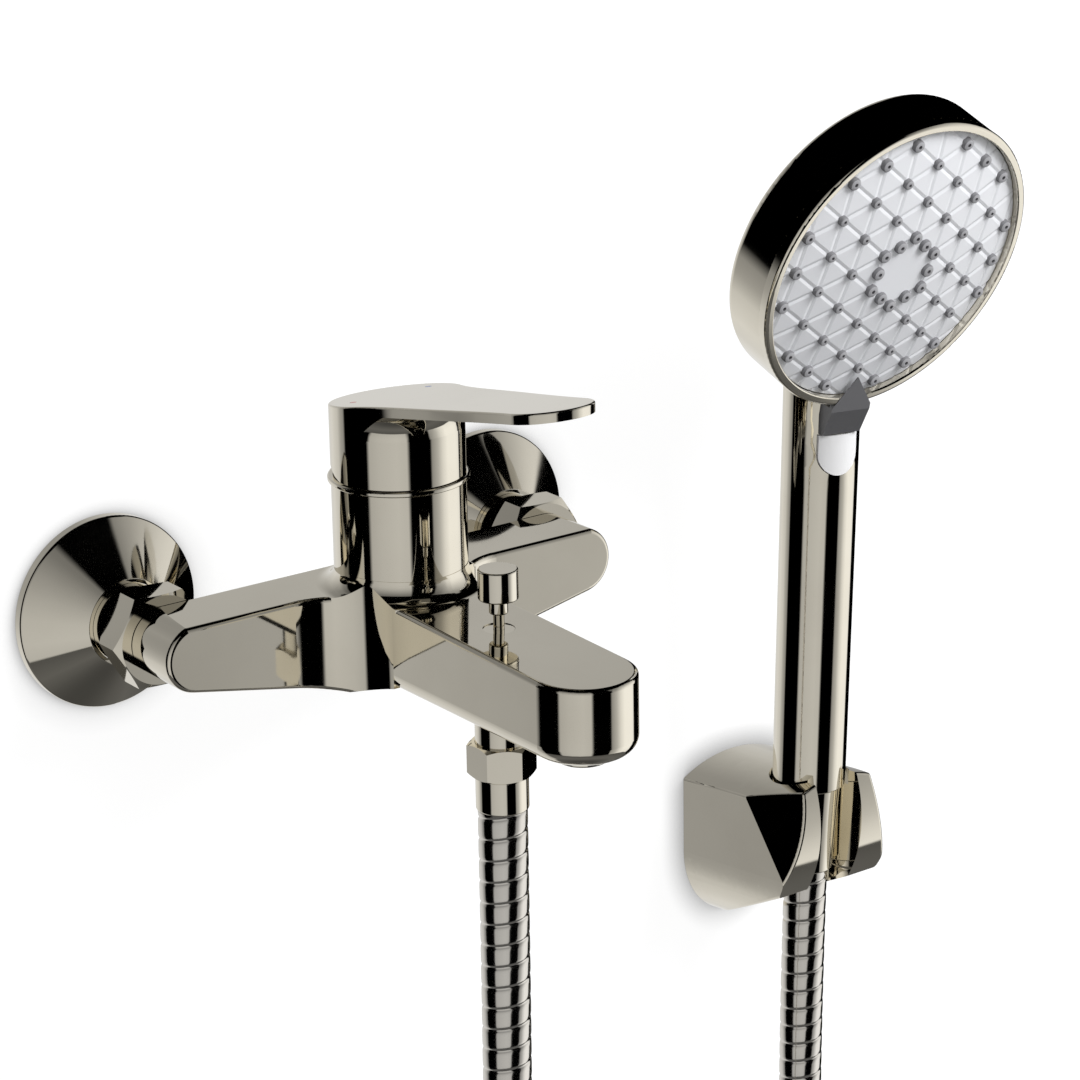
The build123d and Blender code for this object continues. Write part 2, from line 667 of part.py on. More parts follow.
def lever_plan():
    """Outline of the lever from above: a round cap that draws in to a rounded tip ahead of it."""
    start_angle = radians(LEVER_LEAVES_CAP)
    start = (CAP_R * cos(start_angle), -CAP_R * sin(start_angle))
    waist = (LEVER_WAIST_HALF, -LEVER_WAIST_FORWARD)
    tip_y = LEVER_TIP_R - LEVER_REACH
    leave = (-sin(start_angle), -cos(start_angle))
    right = Spline(start, waist, (LEVER_TIP_R, tip_y), tangents=[leave, (0, -1)])
    left = mirror(right, Plane.YZ)
    tip = ThreePointArc((LEVER_TIP_R, tip_y), (0, -LEVER_REACH), (-LEVER_TIP_R, tip_y))
    back = ThreePointArc(start, (0, CAP_R), (-start[0], start[1]))
    return make_face(Curve() + [right, tip, left, back])


def lever_space_below(drop):
    """Everything under the lever's rising top, less a drop."""
    deep = 2 * LEVER_TOP
    wide = 4 * LEVER_REACH
    slab = Pos(0, 0, -deep / 2 - drop) * Box(wide, wide, deep)
    return Pos(0, 0, LEVER_TOP) * Rot(-LEVER_RISE, 0, 0) * slab


def lever_handle():
    """Round hollow cap and flat plate in one casting."""
    plate = extrude(Pos(0, 0, LEVER_BOTTOM) * lever_plan(), 2 * LEVER_TOP)
    plate &= lever_space_below(0) - lever_space_below(LEVER_PLATE)
    cap = rod(CAP_R, LEVER_BOTTOM, 2 * LEVER_TOP) & lever_space_below(0)
    rise = tan(radians(LEVER_RISE))
    corner = LEVER_TOP + CAP_R * rise - LEVER_PLATE / cos(radians(LEVER_RISE)) + FIT
    spread = 2 * LEVER_UNDER_ROUND
    under_round = turned(
        (CAP_R - 1, corner - spread),
        (CAP_R, corner - spread),
        (CAP_R, corner, LEVER_UNDER_ROUND),
        (CAP_R + spread, corner + spread * rise),
        (CAP_R + spread, corner + spread * rise + 1),
        (CAP_R - 1, corner + 1),
    )
    under_round &= Pos(0, -LEVER_REACH / 2, LEVER_TOP) * Box(2 * CAP_R, LEVER_REACH, LEVER_TOP)
    under_round &= extrude(Pos(0, 0, LEVER_BOTTOM) * lever_plan(), LEVER_TOP) & lever_space_below(FIT)
    lever = cap + plate + under_round
    top = lever.faces().filter_by(lambda face: face.normal_at().Z > 0.9).sort_by(SortBy.AREA)[-1]
    lever = fillet(top.edges(), ROUND)
    cavity = rod(CAP_R - LEVER_WALL, LEVER_BOTTOM - 1, LEVER_TOP) & lever_space_below(LEVER_CEILING)
    boss = rod(LEVER_BOSS_R, LEVER_BOSS_BOTTOM, LEVER_TOP) & lever_space_below(LEVER_CEILING / 2)
    lever = lever - cavity + boss
    socket = SPINDLE_SIDE + 2 * FIT
    lever -= Pos(0, 0, (LEVER_BOSS_BOTTOM - 1 + SPINDLE_TOP + FIT) / 2) * Box(
        socket, socket, SPINDLE_TOP + FIT - LEVER_BOSS_BOTTOM + 1
    )
    screw_z = (LEVER_BOSS_BOTTOM + SPINDLE_TOP) / 2
    lever -= Pos(0, 0, screw_z) * Rot(-90, 0, 0) * rod(LEVER_SCREW_R + FIT, 0, CAP_R)
    lever -= Pos(0, 0, screw_z) * Rot(-90, 0, 0) * rod(SCREW_PLUG_R + FIT, CAP_R - LEVER_WALL - 1, CAP_R + 1)
    path_foot = TRIM_RING_TOP - LEVER_LIFT / 2
    ring_path = sleeve(TRIM_RING_R + CLEAR, TRIM_RING_BORE_R - CLEAR, path_foot, LEVER_BOTTOM)
    steps = 8
    for step in range(1, steps + 1):
        angle = -LEVER_LIFT * step / steps
        lever -= Pos(0, 0, PIVOT_Z) * Rot(-angle, 0, 0) * Pos(0, 0, -PIVOT_Z) * ring_path
    for side in (-1, 1):
        lever -= index_dot_place(side) * rod(INDEX_DOT_R + FIT, -INDEX_DOT_DEPTH, 1)
    return COLUMN * lever


def index_dot_place(side):
    """Place of the hot (-1) or cold (1) dot on the lever's top, before the move to the column."""
    rise = INDEX_DOT_FORWARD * tan(radians(LEVER_RISE))
    return Pos(side * INDEX_DOT_X, -INDEX_DOT_FORWARD, LEVER_TOP + rise) * Rot(-LEVER_RISE, 0, 0)


def index_dot(side):
    """Small coloured dot let into the lever."""
    return COLUMN * index_dot_place(side) * rod(INDEX_DOT_R, -INDEX_DOT_DEPTH, 0)


def lever_screw():
    """Grub screw that clamps the lever on its spindle."""
    start = SPINDLE_SIDE / 2 + FIT
    screw = rod(LEVER_SCREW_R, start, start + LEVER_SCREW_LENGTH)
    screw -= Pos(0, 0, start + LEVER_SCREW_LENGTH - 2) * extrude(RegularPolygon(1, 6, major_radius=False), 3)
    return COLUMN * Pos(0, 0, (LEVER_BOSS_BOTTOM + SPINDLE_TOP) / 2) * Rot(-90, 0, 0) * screw


def screw_plug():
    """Plug that hides the screw's hole at the back of the lever's cap."""
    plug = rod(SCREW_PLUG_R, CAP_R - LEVER_WALL, CAP_R + 1)
    plug = Pos(0, 0, (LEVER_BOSS_BOTTOM + SPINDLE_TOP) / 2) * Rot(-90, 0, 0) * plug
    return COLUMN * (plug & rod(CAP_R, LEVER_BOTTOM, LEVER_TOP))


# Diverter
def diverter_bush():
    """Guide for the diverter's stem, screwed flush into the spout's top."""
    top = top_z(DIVERTER_REACH) - BUSH_TOP_DROP
    return DIVERTER * sleeve(DIVERTER_BUSH_R, DIVERTER_STEM_R + RUNNING, top - DIVERTER_BUSH, top)


def diverter_stem():
    """Thin stem from the plunger up into the knob."""
    return DIVERTER * rod(DIVERTER_STEM_R, PLUNGER_TOP - PLUNGER, KNOB_BOTTOM + KNOB_HEIGHT / 2)


def diverter_knob():
    """Small pull knob."""
    top = KNOB_BOTTOM + KNOB_HEIGHT
    knob = turned(
        (0, KNOB_BOTTOM - KNOB_NECK),
        (KNOB_NECK_R, KNOB_BOTTOM - KNOB_NECK, ROUND),
        (KNOB_NECK_R, KNOB_BOTTOM),
        (KNOB_R, KNOB_BOTTOM, ROUND),
        (KNOB_R, top, ROUND),
        (0, top),
    )
    return DIVERTER * (knob - rod(DIVERTER_STEM_R + FIT, 0, KNOB_BOTTOM + KNOB_HEIGHT / 2))


def diverter_plunger():
    """Rubber valve that the stem lifts to close the spout."""
    return DIVERTER * sleeve(PLUNGER_R, DIVERTER_STEM_R + FIT, PLUNGER_TOP - PLUNGER, PLUNGER_TOP)


# Aerator
def aerator_housing():
    """Bright screw-in ring at the spout's mouth."""
    bottom = SPOUT_BOTTOM - AERATOR_SHOWS
    top = bottom + AERATOR_LENGTH
    inner = AERATOR_R - AERATOR_WALL
    return AERATOR * turned(
        (inner - AERATOR_LIP, bottom),
        (AERATOR_R, bottom, ROUND),
        (AERATOR_R, top),
        (inner, top),
        (inner, bottom + AERATOR_LIP),
        (inner - AERATOR_LIP, bottom + AERATOR_LIP),
    )


def aerator_insert():
    """Plastic jet former with a grid of holes."""
    bottom = SPOUT_BOTTOM - AERATOR_SHOWS + AERATOR_LIP
    top = SPOUT_BOTTOM - AERATOR_SHOWS + AERATOR_LENGTH
    insert = rod(AERATOR_R - AERATOR_WALL - FIT, bottom, top)
    hole = rod(0.7, bottom - 1, top + 1)
    spacing = 2.2
    for i in range(-2, 3):
        for j in range(-2, 3):
            if i * i + j * j <= 5:
                insert -= Pos(i * spacing, j * spacing, 0) * hole
    return AERATOR * insert


def aerator_seal():
    """Flat ring that the aerator screws up against."""
    low = SPOUT_BOTTOM - AERATOR_SHOWS + AERATOR_LENGTH
    return AERATOR * sleeve(AERATOR_R, AERATOR_R - 2 * AERATOR_WALL, low, low + AERATOR_SEAL)


# Shower outlet, hose nut and hose
def outlet_nipple():
    """Threaded outlet under the spout."""
    top = SPOUT_BOTTOM + NIPPLE_ROOT
    return DIVERTER * turned(
        (HOSE_THREAD_BORE_R, NIPPLE_BOTTOM),
        (HOSE_THREAD_R, NIPPLE_BOTTOM, ROUND),
        (HOSE_THREAD_R, SPOUT_BOTTOM),
        (NIPPLE_ROOT_R, SPOUT_BOTTOM),
        (NIPPLE_ROOT_R, top),
        (HOSE_THREAD_BORE_R, top),
    )


def hose_nut():
    """Hexagonal swivel nut under the spout."""
    nut = Rot(0, 0, HOSE_NUT_TURN) * hexagon(HOSE_NUT_ACROSS, HOSE_NUT_BOTTOM, HOSE_NUT_TOP)
    nut -= rod(HOSE_THREAD_R + FIT, FLANGE_BOTTOM - FIT, HOSE_NUT_TOP + 1)
    return DIVERTER * (nut - rod(FERRULE_NECK_R + FIT, HOSE_NUT_BOTTOM - 1, HOSE_NUT_TOP))


def washer_under_spout():
    """Washer between the outlet and the hose."""
    return DIVERTER * sleeve(HOSE_THREAD_R, HOSE_THREAD_BORE_R, NIPPLE_BOTTOM - HOSE_WASHER, NIPPLE_BOTTOM)


def hose_sleeve():
    """Bright sleeve crimped on the hose's upper end, with the flange that the nut holds."""
    flange_top = NIPPLE_BOTTOM - HOSE_WASHER
    shoulder = HOSE_NUT_BOTTOM - FIT
    return DIVERTER * turned(
        (HOSE_THREAD_BORE_R, SLEEVE_BOTTOM),
        (SLEEVE_R, SLEEVE_BOTTOM, ROUND),
        (SLEEVE_R, shoulder, ROUND),
        (FERRULE_NECK_R, shoulder),
        (FERRULE_NECK_R, flange_top - FERRULE_FLANGE),
        (HOSE_THREAD_R, flange_top - FERRULE_FLANGE),
        (HOSE_THREAD_R, flange_top),
        (HOSE_THREAD_BORE_R, flange_top),
    )


def hose_path():
    """Centreline of the hose: straight runs joined by the largest arcs that fit."""
    points = [Vector(*point) for point in HOSE_ROUTE]
    radii = []
    for before, here, after in zip(points, points[1:], points[2:]):
        turn = (here - before).get_angle(after - here)
        run = min((here - before).length, (after - here).length)
        radii.append(0.45 * run / tan(radians(turn) / 2))
    print("hose radii", [round(radius) for radius in radii])
    return FilletPolyline(*points, radius=radii)


def hose():
    """Ribbed hose with its bore; the two ends are plain."""
    path = hose_path()
    length = path.length
    plain = 2 * HOSE_R
    count = int((length - 2 * plain) / HOSE_PITCH)
    pitch = (length - 2 * plain) / count
    flank = HOSE_FLANK_SHARE * pitch
    crest = HOSE_CREST_SHARE * pitch
    rib = [(0, HOSE_ROOT_R), (flank, HOSE_R), (flank + crest, HOSE_R), (2 * flank + crest, HOSE_ROOT_R)]
    stations = [(0, HOSE_ROOT_R)]
    for index in range(count):
        stations += [(plain + index * pitch + along, radius) for along, radius in rib]
    stations.append((length, HOSE_ROOT_R))
    steady = Vector(0.363, -0.932, 0)

    def ring(along, radius):
        place = path.position_at(along / length)
        return Plane(place, x_dir=steady, z_dir=path.tangent_at(along / length)) * Circle(radius)

    outside = loft([ring(along, radius) for along, radius in stations], ruled=True)
    bore = sweep(ring(0, HOSE_BORE_R), path)
    tube = outside - bore
    print("hose length", round(length), "ribs", count, "volume", round(tube.volume))
    return tube


# Hand shower
def cone_nut():
    """Conical swivel nut that sits in the wall bracket."""
    lip_top = -CONNECTOR_THREAD - HOSE_WASHER - FERRULE_FLANGE - 2 * FIT
    nut = turned(
        (0, -CONE_NUT_LENGTH),
        (CONE_NUT_FOOT_R, -CONE_NUT_LENGTH, ROUND),
        (CONE_NUT_TOP_R, 0, ROUND),
        (0, 0),
    )
    nut -= rod(HOSE_THREAD_R + FIT, lip_top, 1)
    nut -= rod(FERRULE_NECK_R + RUNNING, lip_top - CONE_NUT_LIP - 1, lip_top + 1)
    return HANDSET * (nut - rod(HOSE_R + 0.5, -CONE_NUT_LENGTH - 1, lip_top - CONE_NUT_LIP))


def handset_washer():
    """Washer between the hand shower and the hose."""
    top = -CONNECTOR_THREAD - FIT
    return HANDSET * sleeve(HOSE_THREAD_R - CLEAR, HOSE_THREAD_BORE_R, top - HOSE_WASHER, top)


def hose_ferrule():
    """Ferrule on the hose's lower end that turns inside the cone nut."""
    flange_top = -CONNECTOR_THREAD - FIT - HOSE_WASHER
    sleeve_top = -CONNECTOR_THREAD - HOSE_WASHER - FERRULE_FLANGE - CONE_NUT_LIP - CLEAR - 2 * FIT
    return HANDSET * turned(
        (HOSE_THREAD_BORE_R, -CONE_NUT_LENGTH),
        (HOSE_R + 0.2, -CONE_NUT_LENGTH),
        (HOSE_R + 0.2, sleeve_top),
        (FERRULE_NECK_R, sleeve_top),
        (FERRULE_NECK_R, flange_top - FERRULE_FLANGE),
        (HOSE_THREAD_R - CLEAR, flange_top - FERRULE_FLANGE),
        (HOSE_THREAD_R - CLEAR, flange_top),
        (HOSE_THREAD_BORE_R, flange_top),
    )


def handle_connector():
    """Threaded end piece fixed in the foot of the handle."""
    return HANDSET * turned(
        (HOSE_THREAD_BORE_R, -CONNECTOR_THREAD),
        (HOSE_THREAD_R, -CONNECTOR_THREAD),
        (HOSE_THREAD_R, CLEAR),
        (HANDLE_BORE_R - FIT, CLEAR),
        (HANDLE_BORE_R - FIT, CONNECTOR_PLUG),
        (TUBE_R + FIT, CONNECTOR_PLUG),
        (TUBE_R + FIT, CONNECTOR_PLUG / 2),
        (HOSE_THREAD_BORE_R, CONNECTOR_PLUG / 2),
    )


def handle_tube():
    """Water tube up the handle into the head."""
    return HANDSET * sleeve(TUBE_R, TUBE_BORE_R, CONNECTOR_PLUG / 2, TUBE_TOP)


def puck(radius, low, high, rounding=None):
    """Disc in the head's frame, with its back edge rounded if asked."""
    back = (radius, low, rounding) if rounding else (radius, low)
    return turned((0, low), back, (radius, high), (0, high))


def selector_outline(grow):
    """Half oval on the handle's front, flat on top."""
    half = SELECTOR_WIDTH / 2 + grow
    foot = SELECTOR_FOOT - grow
    top = SELECTOR_SPLIT + grow
    side = foot + half
    flat_top = Polyline((half, side), (half, top), (-half, top), (-half, side))
    return make_face(flat_top + ThreePointArc((-half, side), (0, foot), (half, side)))


def selector_block(grow, depth):
    """The half oval carried into the handle's front to a depth."""
    back = HANDLE_TOP_R - depth
    block = Pos(0, -back, 0) * extrude(Plane.XZ * selector_outline(grow), depth + BEZEL_PROUD)
    return Rot(0, 0, SELECTOR_TURN) * block


def handset_shell():
    """Handle and the back of the head in one hollow moulding."""
    to_head = HANDSET.inverse() * HEAD
    handle = turned((0, 0), (HANDLE_FOOT_R, 0, ROUND), (HANDLE_TOP_R, HANDLE_LENGTH), (0, HANDLE_LENGTH))
    behind = Pos(0, HANDLE_LENGTH / 2, 0) * Box(4 * HANDLE_TOP_R, HANDLE_LENGTH, 2 * HANDLE_LENGTH)
    handle -= Pos(0, HANDLE_TOP_R, HANDLE_BACK_CUT) * Rot(HANDLE_BACK_ANGLE, 0, 0) * behind
    handle -= to_head * rod(HEAD_R, -RIM_SEAT, HEAD_R)
    shell = handle + to_head * puck(HEAD_R - FIT, -HEAD_BACK, -RIM_SEAT, HEAD_BACK_ROUND)
    shell -= to_head * rod(HEAD_R - HEAD_WALL, HEAD_WALL - HEAD_BACK, 1)
    handle_end = SELECTOR_SPLIT + SELECTOR_WIDTH / 2
    shell -= rod(HANDLE_BORE_R, -1, handle_end)
    shell -= rod(TUBE_R + FIT, handle_end - 1, TUBE_TOP)
    return HANDSET * (shell - selector_block(CLEAR, SELECTOR_DEPTH + SELECTOR_TRAVEL + CLEAR))


def spray_rim():
    """Bright ring round the spray face."""
    return HEAD * turned(
        (HEAD_R - RIM_WIDTH, -RIM_SEAT),
        (HEAD_R - FIT, -RIM_SEAT),
        (HEAD_R, 0),
        (HEAD_R, RIM_PROUD, RIM_ROUND),
        (HEAD_R - RIM_WIDTH, RIM_PROUD, 0.5),
    )


def nozzle_spots():
    """Places and radii of the nozzles: a triangular lattice in rings, with a doubled first ring."""
    spots = []
    across = Vector(NOZZLE_PITCH, 0).rotate(Axis.Z, NOZZLE_TURN)
    up = Vector(NOZZLE_PITCH, 0).rotate(Axis.Z, NOZZLE_TURN + 60)
    for i in range(-4, 5):
        for j in range(-4, 5):
            ring = max(abs(i), abs(j), abs(i + j))
            corner = 0 in (i, j, i + j)
            if ring in (2, 3) or ring == 4 and not corner:
                spots.append((across * i + up * j, OUTER_NOZZLE_R if ring == 4 else NOZZLE_R))
    for sixth in range(6):
        here = across.rotate(Axis.Z, 60 * sixth)
        after = across.rotate(Axis.Z, 60 * sixth + 60)
        spots += [(here, INNER_NOZZLE_R), ((here + after) / 2, INNER_NOZZLE_R)]
    return spots


def nozzles(grow, low):
    """All nozzle bodies, a little larger when they are holes; their tips follow the domed plate."""
    bodies = []
    for spot, radius in nozzle_spots():
        tip = PLATE_EDGE + PLATE_DOME * (1 - (spot.length / PLATE_R) ** 2) + NOZZLE_PROUD
        bodies.append(Pos(spot.X, spot.Y, 0) * rod(radius + grow, low, tip + max(grow, 0)))
    return bodies


def spray_plate():
    """Pale domed face plate with a hole for each nozzle."""
    dome_r = (PLATE_R**2 + PLATE_DOME**2) / (2 * PLATE_DOME)
    plate = rod(PLATE_R, PLATE_BACK, PLATE_EDGE + 2 * PLATE_DOME)
    plate &= Pos(0, 0, PLATE_EDGE + PLATE_DOME - dome_r) * Sphere(dome_r)
    return HEAD * (plate - nozzles(FIT, PLATE_BACK - 1))


def nozzle_mat():
    """Rubber mat with all the nozzles in one piece."""
    mat = rod(PLATE_R, PLATE_BACK - NOZZLE_MAT, PLATE_BACK)
    mat += nozzles(0, PLATE_BACK - NOZZLE_MAT / 2)
    jet = rod(JET_R, PLATE_BACK - NOZZLE_MAT - 1, HEAD_BACK)
    return HEAD * (mat - [Pos(spot.X, spot.Y, 0) * jet for spot, _ in nozzle_spots()])


def water_guide():
    """Plate behind the mat that spreads the water, with its inlet in the middle."""
    front = PLATE_BACK - NOZZLE_MAT
    guide = rod(HEAD_R - HEAD_WALL - FIT, front - WATER_GUIDE, front)
    guide -= rod(HEAD_R - 4 * HEAD_WALL, front - 1, front + 1)
    return HEAD * (guide - rod(TUBE_BORE_R, front - WATER_GUIDE - 1, front))


def selector_button():
    """Thumb button in the front of the handle, pushed in to change the spray."""
    skin = rod(HANDLE_TOP_R + SELECTOR_PROUD, SELECTOR_FOOT - 1, SELECTOR_SPLIT + 1)
    return HANDSET * (selector_block(0, SELECTOR_DEPTH) & skin)


def selector_bezel():
    """Dark bridge from the handle's front over the rim onto the spray face."""
    to_head = HANDSET.inverse() * HEAD
    foot = SELECTOR_SPLIT + 2 * CLEAR
    rim_front = to_head * Pos(0, -HEAD_R, RIM_PROUD + FIT)
    face_top = to_head * Pos(0, BEZEL_ON_FACE - HEAD_R, RIM_PROUD + FIT)
    proud_low = to_head * Pos(0, -HEAD_R - 1, BEZEL_PROUD)
    proud_top = to_head * Pos(0, BEZEL_ON_FACE - HEAD_R, RIM_PROUD + 1)
    corners = [(place.position.Y, place.position.Z) for place in (proud_low, proud_top, face_top, rim_front)]
    front = -HANDLE_TOP_R - SELECTOR_PROUD
    inner = [(1 - HANDLE_TOP_R, corners[-1][1]), (SELECTOR_DEPTH - HANDLE_TOP_R, foot)]
    bezel = Rot(0, 0, SELECTOR_TURN) * side_prism([(front, foot), *corners, *inner], SELECTOR_WIDTH / 2)
    bezel -= turned((0, 0), (HANDLE_FOOT_R + FIT, 0), (HANDLE_TOP_R + FIT, HANDLE_LENGTH), (0, HANDLE_LENGTH))
    bezel -= to_head * rod(HEAD_R + FIT, -HEAD_BACK, RIM_PROUD + FIT)
    half = SELECTOR_WIDTH / 2 + 1
    middle = -rim_front.position.Y * sin(radians(SELECTOR_TURN))
    sides = [(middle + half, -HEAD_R - 1), (middle + half, -2 * HEAD_R)]
    sides += [(middle - half, -2 * HEAD_R), (middle - half, -HEAD_R - 1)]
    point = make_face(Polyline((middle, BEZEL_ON_FACE - HEAD_R), *sides, close=True))
    return HANDSET * (bezel & to_head * Pos(0, 0, -HEAD_R) * extrude(point, 2 * HEAD_R))


# Wall bracket
def bracket_outline(inset):
    """Outline on the wall: arched top, straight flanks and a half oval foot."""
    half = BRACKET_HALF_WIDTH - inset
    shoulder = BRACKET_SHOULDER - inset
    arch = ThreePointArc((-half, shoulder), (0, BRACKET_TOP - inset), (half, shoulder))
    right = Line((half, shoulder), (half, BRACKET_FLANK_END))
    left = Line((-half, BRACKET_FLANK_END), (-half, shoulder))
    drop = BRACKET_FLANK_END - BRACKET_FOOT - inset
    oval = EllipticalCenterArc((0, BRACKET_FLANK_END), half, drop, start_angle=180, arc_size=180)
    return make_face(Curve() + [arch, right, oval, left])


def bracket_under(lift):
    """Room under the bracket's underside, which rises from the wall to the jaws."""
    wide = 4 * BRACKET_HALF_WIDTH
    corner = Pos(0, 0, BRACKET_FOOT - BRACKET_UNDER_DROP + lift)
    return corner * Rot(-BRACKET_UNDER_RISE, 0, 0) * Pos(0, 0, -wide / 2) * Box(2 * wide, 4 * wide, wide)


def bracket_rims(body):
    """Edges of the bracket's top, underside and nose that stand clear of the wall."""
    top = body.faces().sort_by(Axis.Z)[-1]
    under = body.faces().filter_by(GeomType.PLANE).sort_by(Axis.Z)[0]
    rims = top.edges() + under.edges() + body.edges().filter_by(GeomType.ELLIPSE)
    return [edge for edge in rims if edge.center().Y < -CLEAR]


def bracket_body():
    """Bracket with two jaws round the cone nut and a slot for the hose."""
    rise = tan(radians(BRACKET_TOP_RISE))
    depth = BRACKET_REACH / cos(radians(BRACKET_TOP_RISE))
    body = extrude(Plane.XZ * bracket_outline(0), depth, dir=(0, -1, rise))
    wide = 4 * BRACKET_HALF_WIDTH
    nose_axis = Pos(0, BRACKET_NOSE_R - BRACKET_REACH, BRACKET_NOSE_Z)
    nose = nose_axis * Rot(0, 90, 0) * Cylinder(BRACKET_NOSE_R, wide)
    nose += nose_axis * Pos(0, BRACKET_REACH, 0) * Box(wide, 2 * BRACKET_REACH, 2 * wide)
    body &= nose
    body -= bracket_under(0)
    for side in (-1, 1):
        facet = Pos(side * wide / 2, 0, 0) * Box(wide, 2 * wide, 2 * wide)
        turn = Rot(0, -side * BRACKET_FACET_LEAN, -side * BRACKET_FACET_TURN)
        body -= Pos(side * BRACKET_HALF_WIDTH, -BRACKET_FACET_BACK, BRACKET_FACET_Z) * turn * facet
    body = fillet(bracket_rims(body), BRACKET_ROUND)
    seat = turned(
        (0, -2 * CONE_NUT_LENGTH),
        (CONE_NUT_FOOT_R + CLEAR, -2 * CONE_NUT_LENGTH),
        (CONE_NUT_FOOT_R + CLEAR, -CONE_NUT_LENGTH),
        (CONE_NUT_TOP_R + CLEAR, -CLEAR),
        (HANDLE_FOOT_R + BRACKET_SEAT_ROOM, -CLEAR),
        (HANDLE_FOOT_R + BRACKET_SEAT_ROOM, CONE_NUT_LENGTH),
        (0, CONE_NUT_LENGTH),
    )
    slot = Pos(0, -wide / 2, 0) * Box(BRACKET_SLOT, wide, 4 * wide)
    body -= Pos(-HANDSET_X, 0, 0) * HANDSET * (seat + slot)
    hollow = extrude(Plane.XZ * bracket_outline(BRACKET_WALL), BRACKET_HOLLOW)
    hollow -= bracket_under(BRACKET_WALL)
    return Pos(HANDSET_X, 0, 0) * (body - hollow)


def bracket_base():
    """Plate screwed to the wall that the bracket's body snaps over."""
    base = extrude(Plane.XZ * bracket_outline(BRACKET_WALL + FIT), BRACKET_BASE)
    base -= bracket_under(BRACKET_WALL + CLEAR)
    for height in SCREW_HOLES:
        hole = rod(SCREW_R + FIT, -1, BRACKET_BASE + 1)
        hole += turned((0, 1), (SCREW_R + FIT, 1), (SCREW_HEAD_R + FIT, BRACKET_BASE), (0, BRACKET_BASE))
        base -= Pos(0, 0, height) * out_of_wall(hole)
    return Pos(HANDSET_X, 0, 0) * base


def bracket_screws():
    """Two countersunk screws into the wall."""
    screw = turned(
        (0, BRACKET_BASE - SCREW_LENGTH),
        (SCREW_R, BRACKET_BASE - SCREW_LENGTH + 3),
        (SCREW_R, 1),
        (SCREW_HEAD_R, BRACKET_BASE),
        (0, BRACKET_BASE),
    )
    return [Pos(HANDSET_X, 0, height) * out_of_wall(screw) for height in SCREW_HOLES]


def wall_plugs():
    """Two plugs in the wall round the screws."""
    plug = sleeve(PLUG_R, SCREW_R + FIT, -PLUG_LENGTH, 0)
    return [Pos(HANDSET_X, 0, height) * out_of_wall(plug) for height in SCREW_HOLES]


def save(node, shape):
    """Writes one node; a list becomes a group of separate solids."""
    solids = shape if isinstance(shape, list) else [shape]
    export_step(Compound(children=[Compound(list(solid.solids())) for solid in solids]), f"parts/{node}.step")


def main():
    os.makedirs("parts", exist_ok=True)
    left, right = Pos(-INLET_X, 0, 0), Pos(INLET_X, 0, 0)
    for name, piece in (
        ("wall_union", wall_union()),
        ("escutcheon", escutcheon()),
        ("union_nut", union_nut()),
        ("inlet_tail", inlet_tail()),
    ):
        save(f"{name}_left", left * piece)
        save(f"{name}_right", right * piece)
    save("inlet_washers", [left * inlet_washer(), right * inlet_washer()])
    save("mixer_body", mixer_body())
    save("cartridge_base", cartridge_base())
    save("port_seals", port_seals(0))
    save("fixed_disc", fixed_disc())
    save("moving_disc", moving_disc())
    save("disc_carrier", disc_carrier())
    save("cartridge_housing", cartridge_housing())
    save("clamp_nut", clamp_nut())
    save("turner", turner())
    save("pivot_pin", pivot_pin())
    save("lever_spindle", lever_spindle())
    save("trim_ring", trim_ring())
    save("lever_handle", lever_handle())
    save("lever_screw", lever_screw())
    save("screw_plug", screw_plug())
    save("hot_dot", index_dot(-1))
    save("cold_dot", index_dot(1))
    save("diverter_bush", diverter_bush())
    save("diverter_stem", diverter_stem())
    save("diverter_knob", diverter_knob())
    save("diverter_plunger", diverter_plunger())
    save("aerator_housing", aerator_housing())
    save("aerator_insert", aerator_insert())
    save("aerator_seal", aerator_seal())
    save("outlet_nipple", outlet_nipple())
    save("hose_nut", hose_nut())
    save("outlet_washer", washer_under_spout())
    save("hose_sleeve", hose_sleeve())
    save("hose", hose())
    save("hose_ferrule", hose_ferrule())
    save("handset_washer", handset_washer())
    save("cone_nut", cone_nut())
    save("handle_connector", handle_connector())
    save("handle_tube", handle_tube())
    save("handset_shell", handset_shell())
    save("spray_rim", spray_rim())
    save("spray_plate", spray_plate())
    save("nozzle_mat", nozzle_mat())
    save("water_guide", water_guide())
    save("selector_button", selector_button())
    save("selector_bezel", selector_bezel())
    save("bracket_body", bracket_body())
    save("bracket_base", bracket_base())
    save("bracket_screws", bracket_screws())
    save("wall_plugs", wall_plugs())


if __name__ == "__main__":
    main()
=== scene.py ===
"""Looks of a wall mounted bath faucet with a hand shower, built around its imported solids."""

import math

import bpy
from mathutils import Matrix, Quaternion, Vector


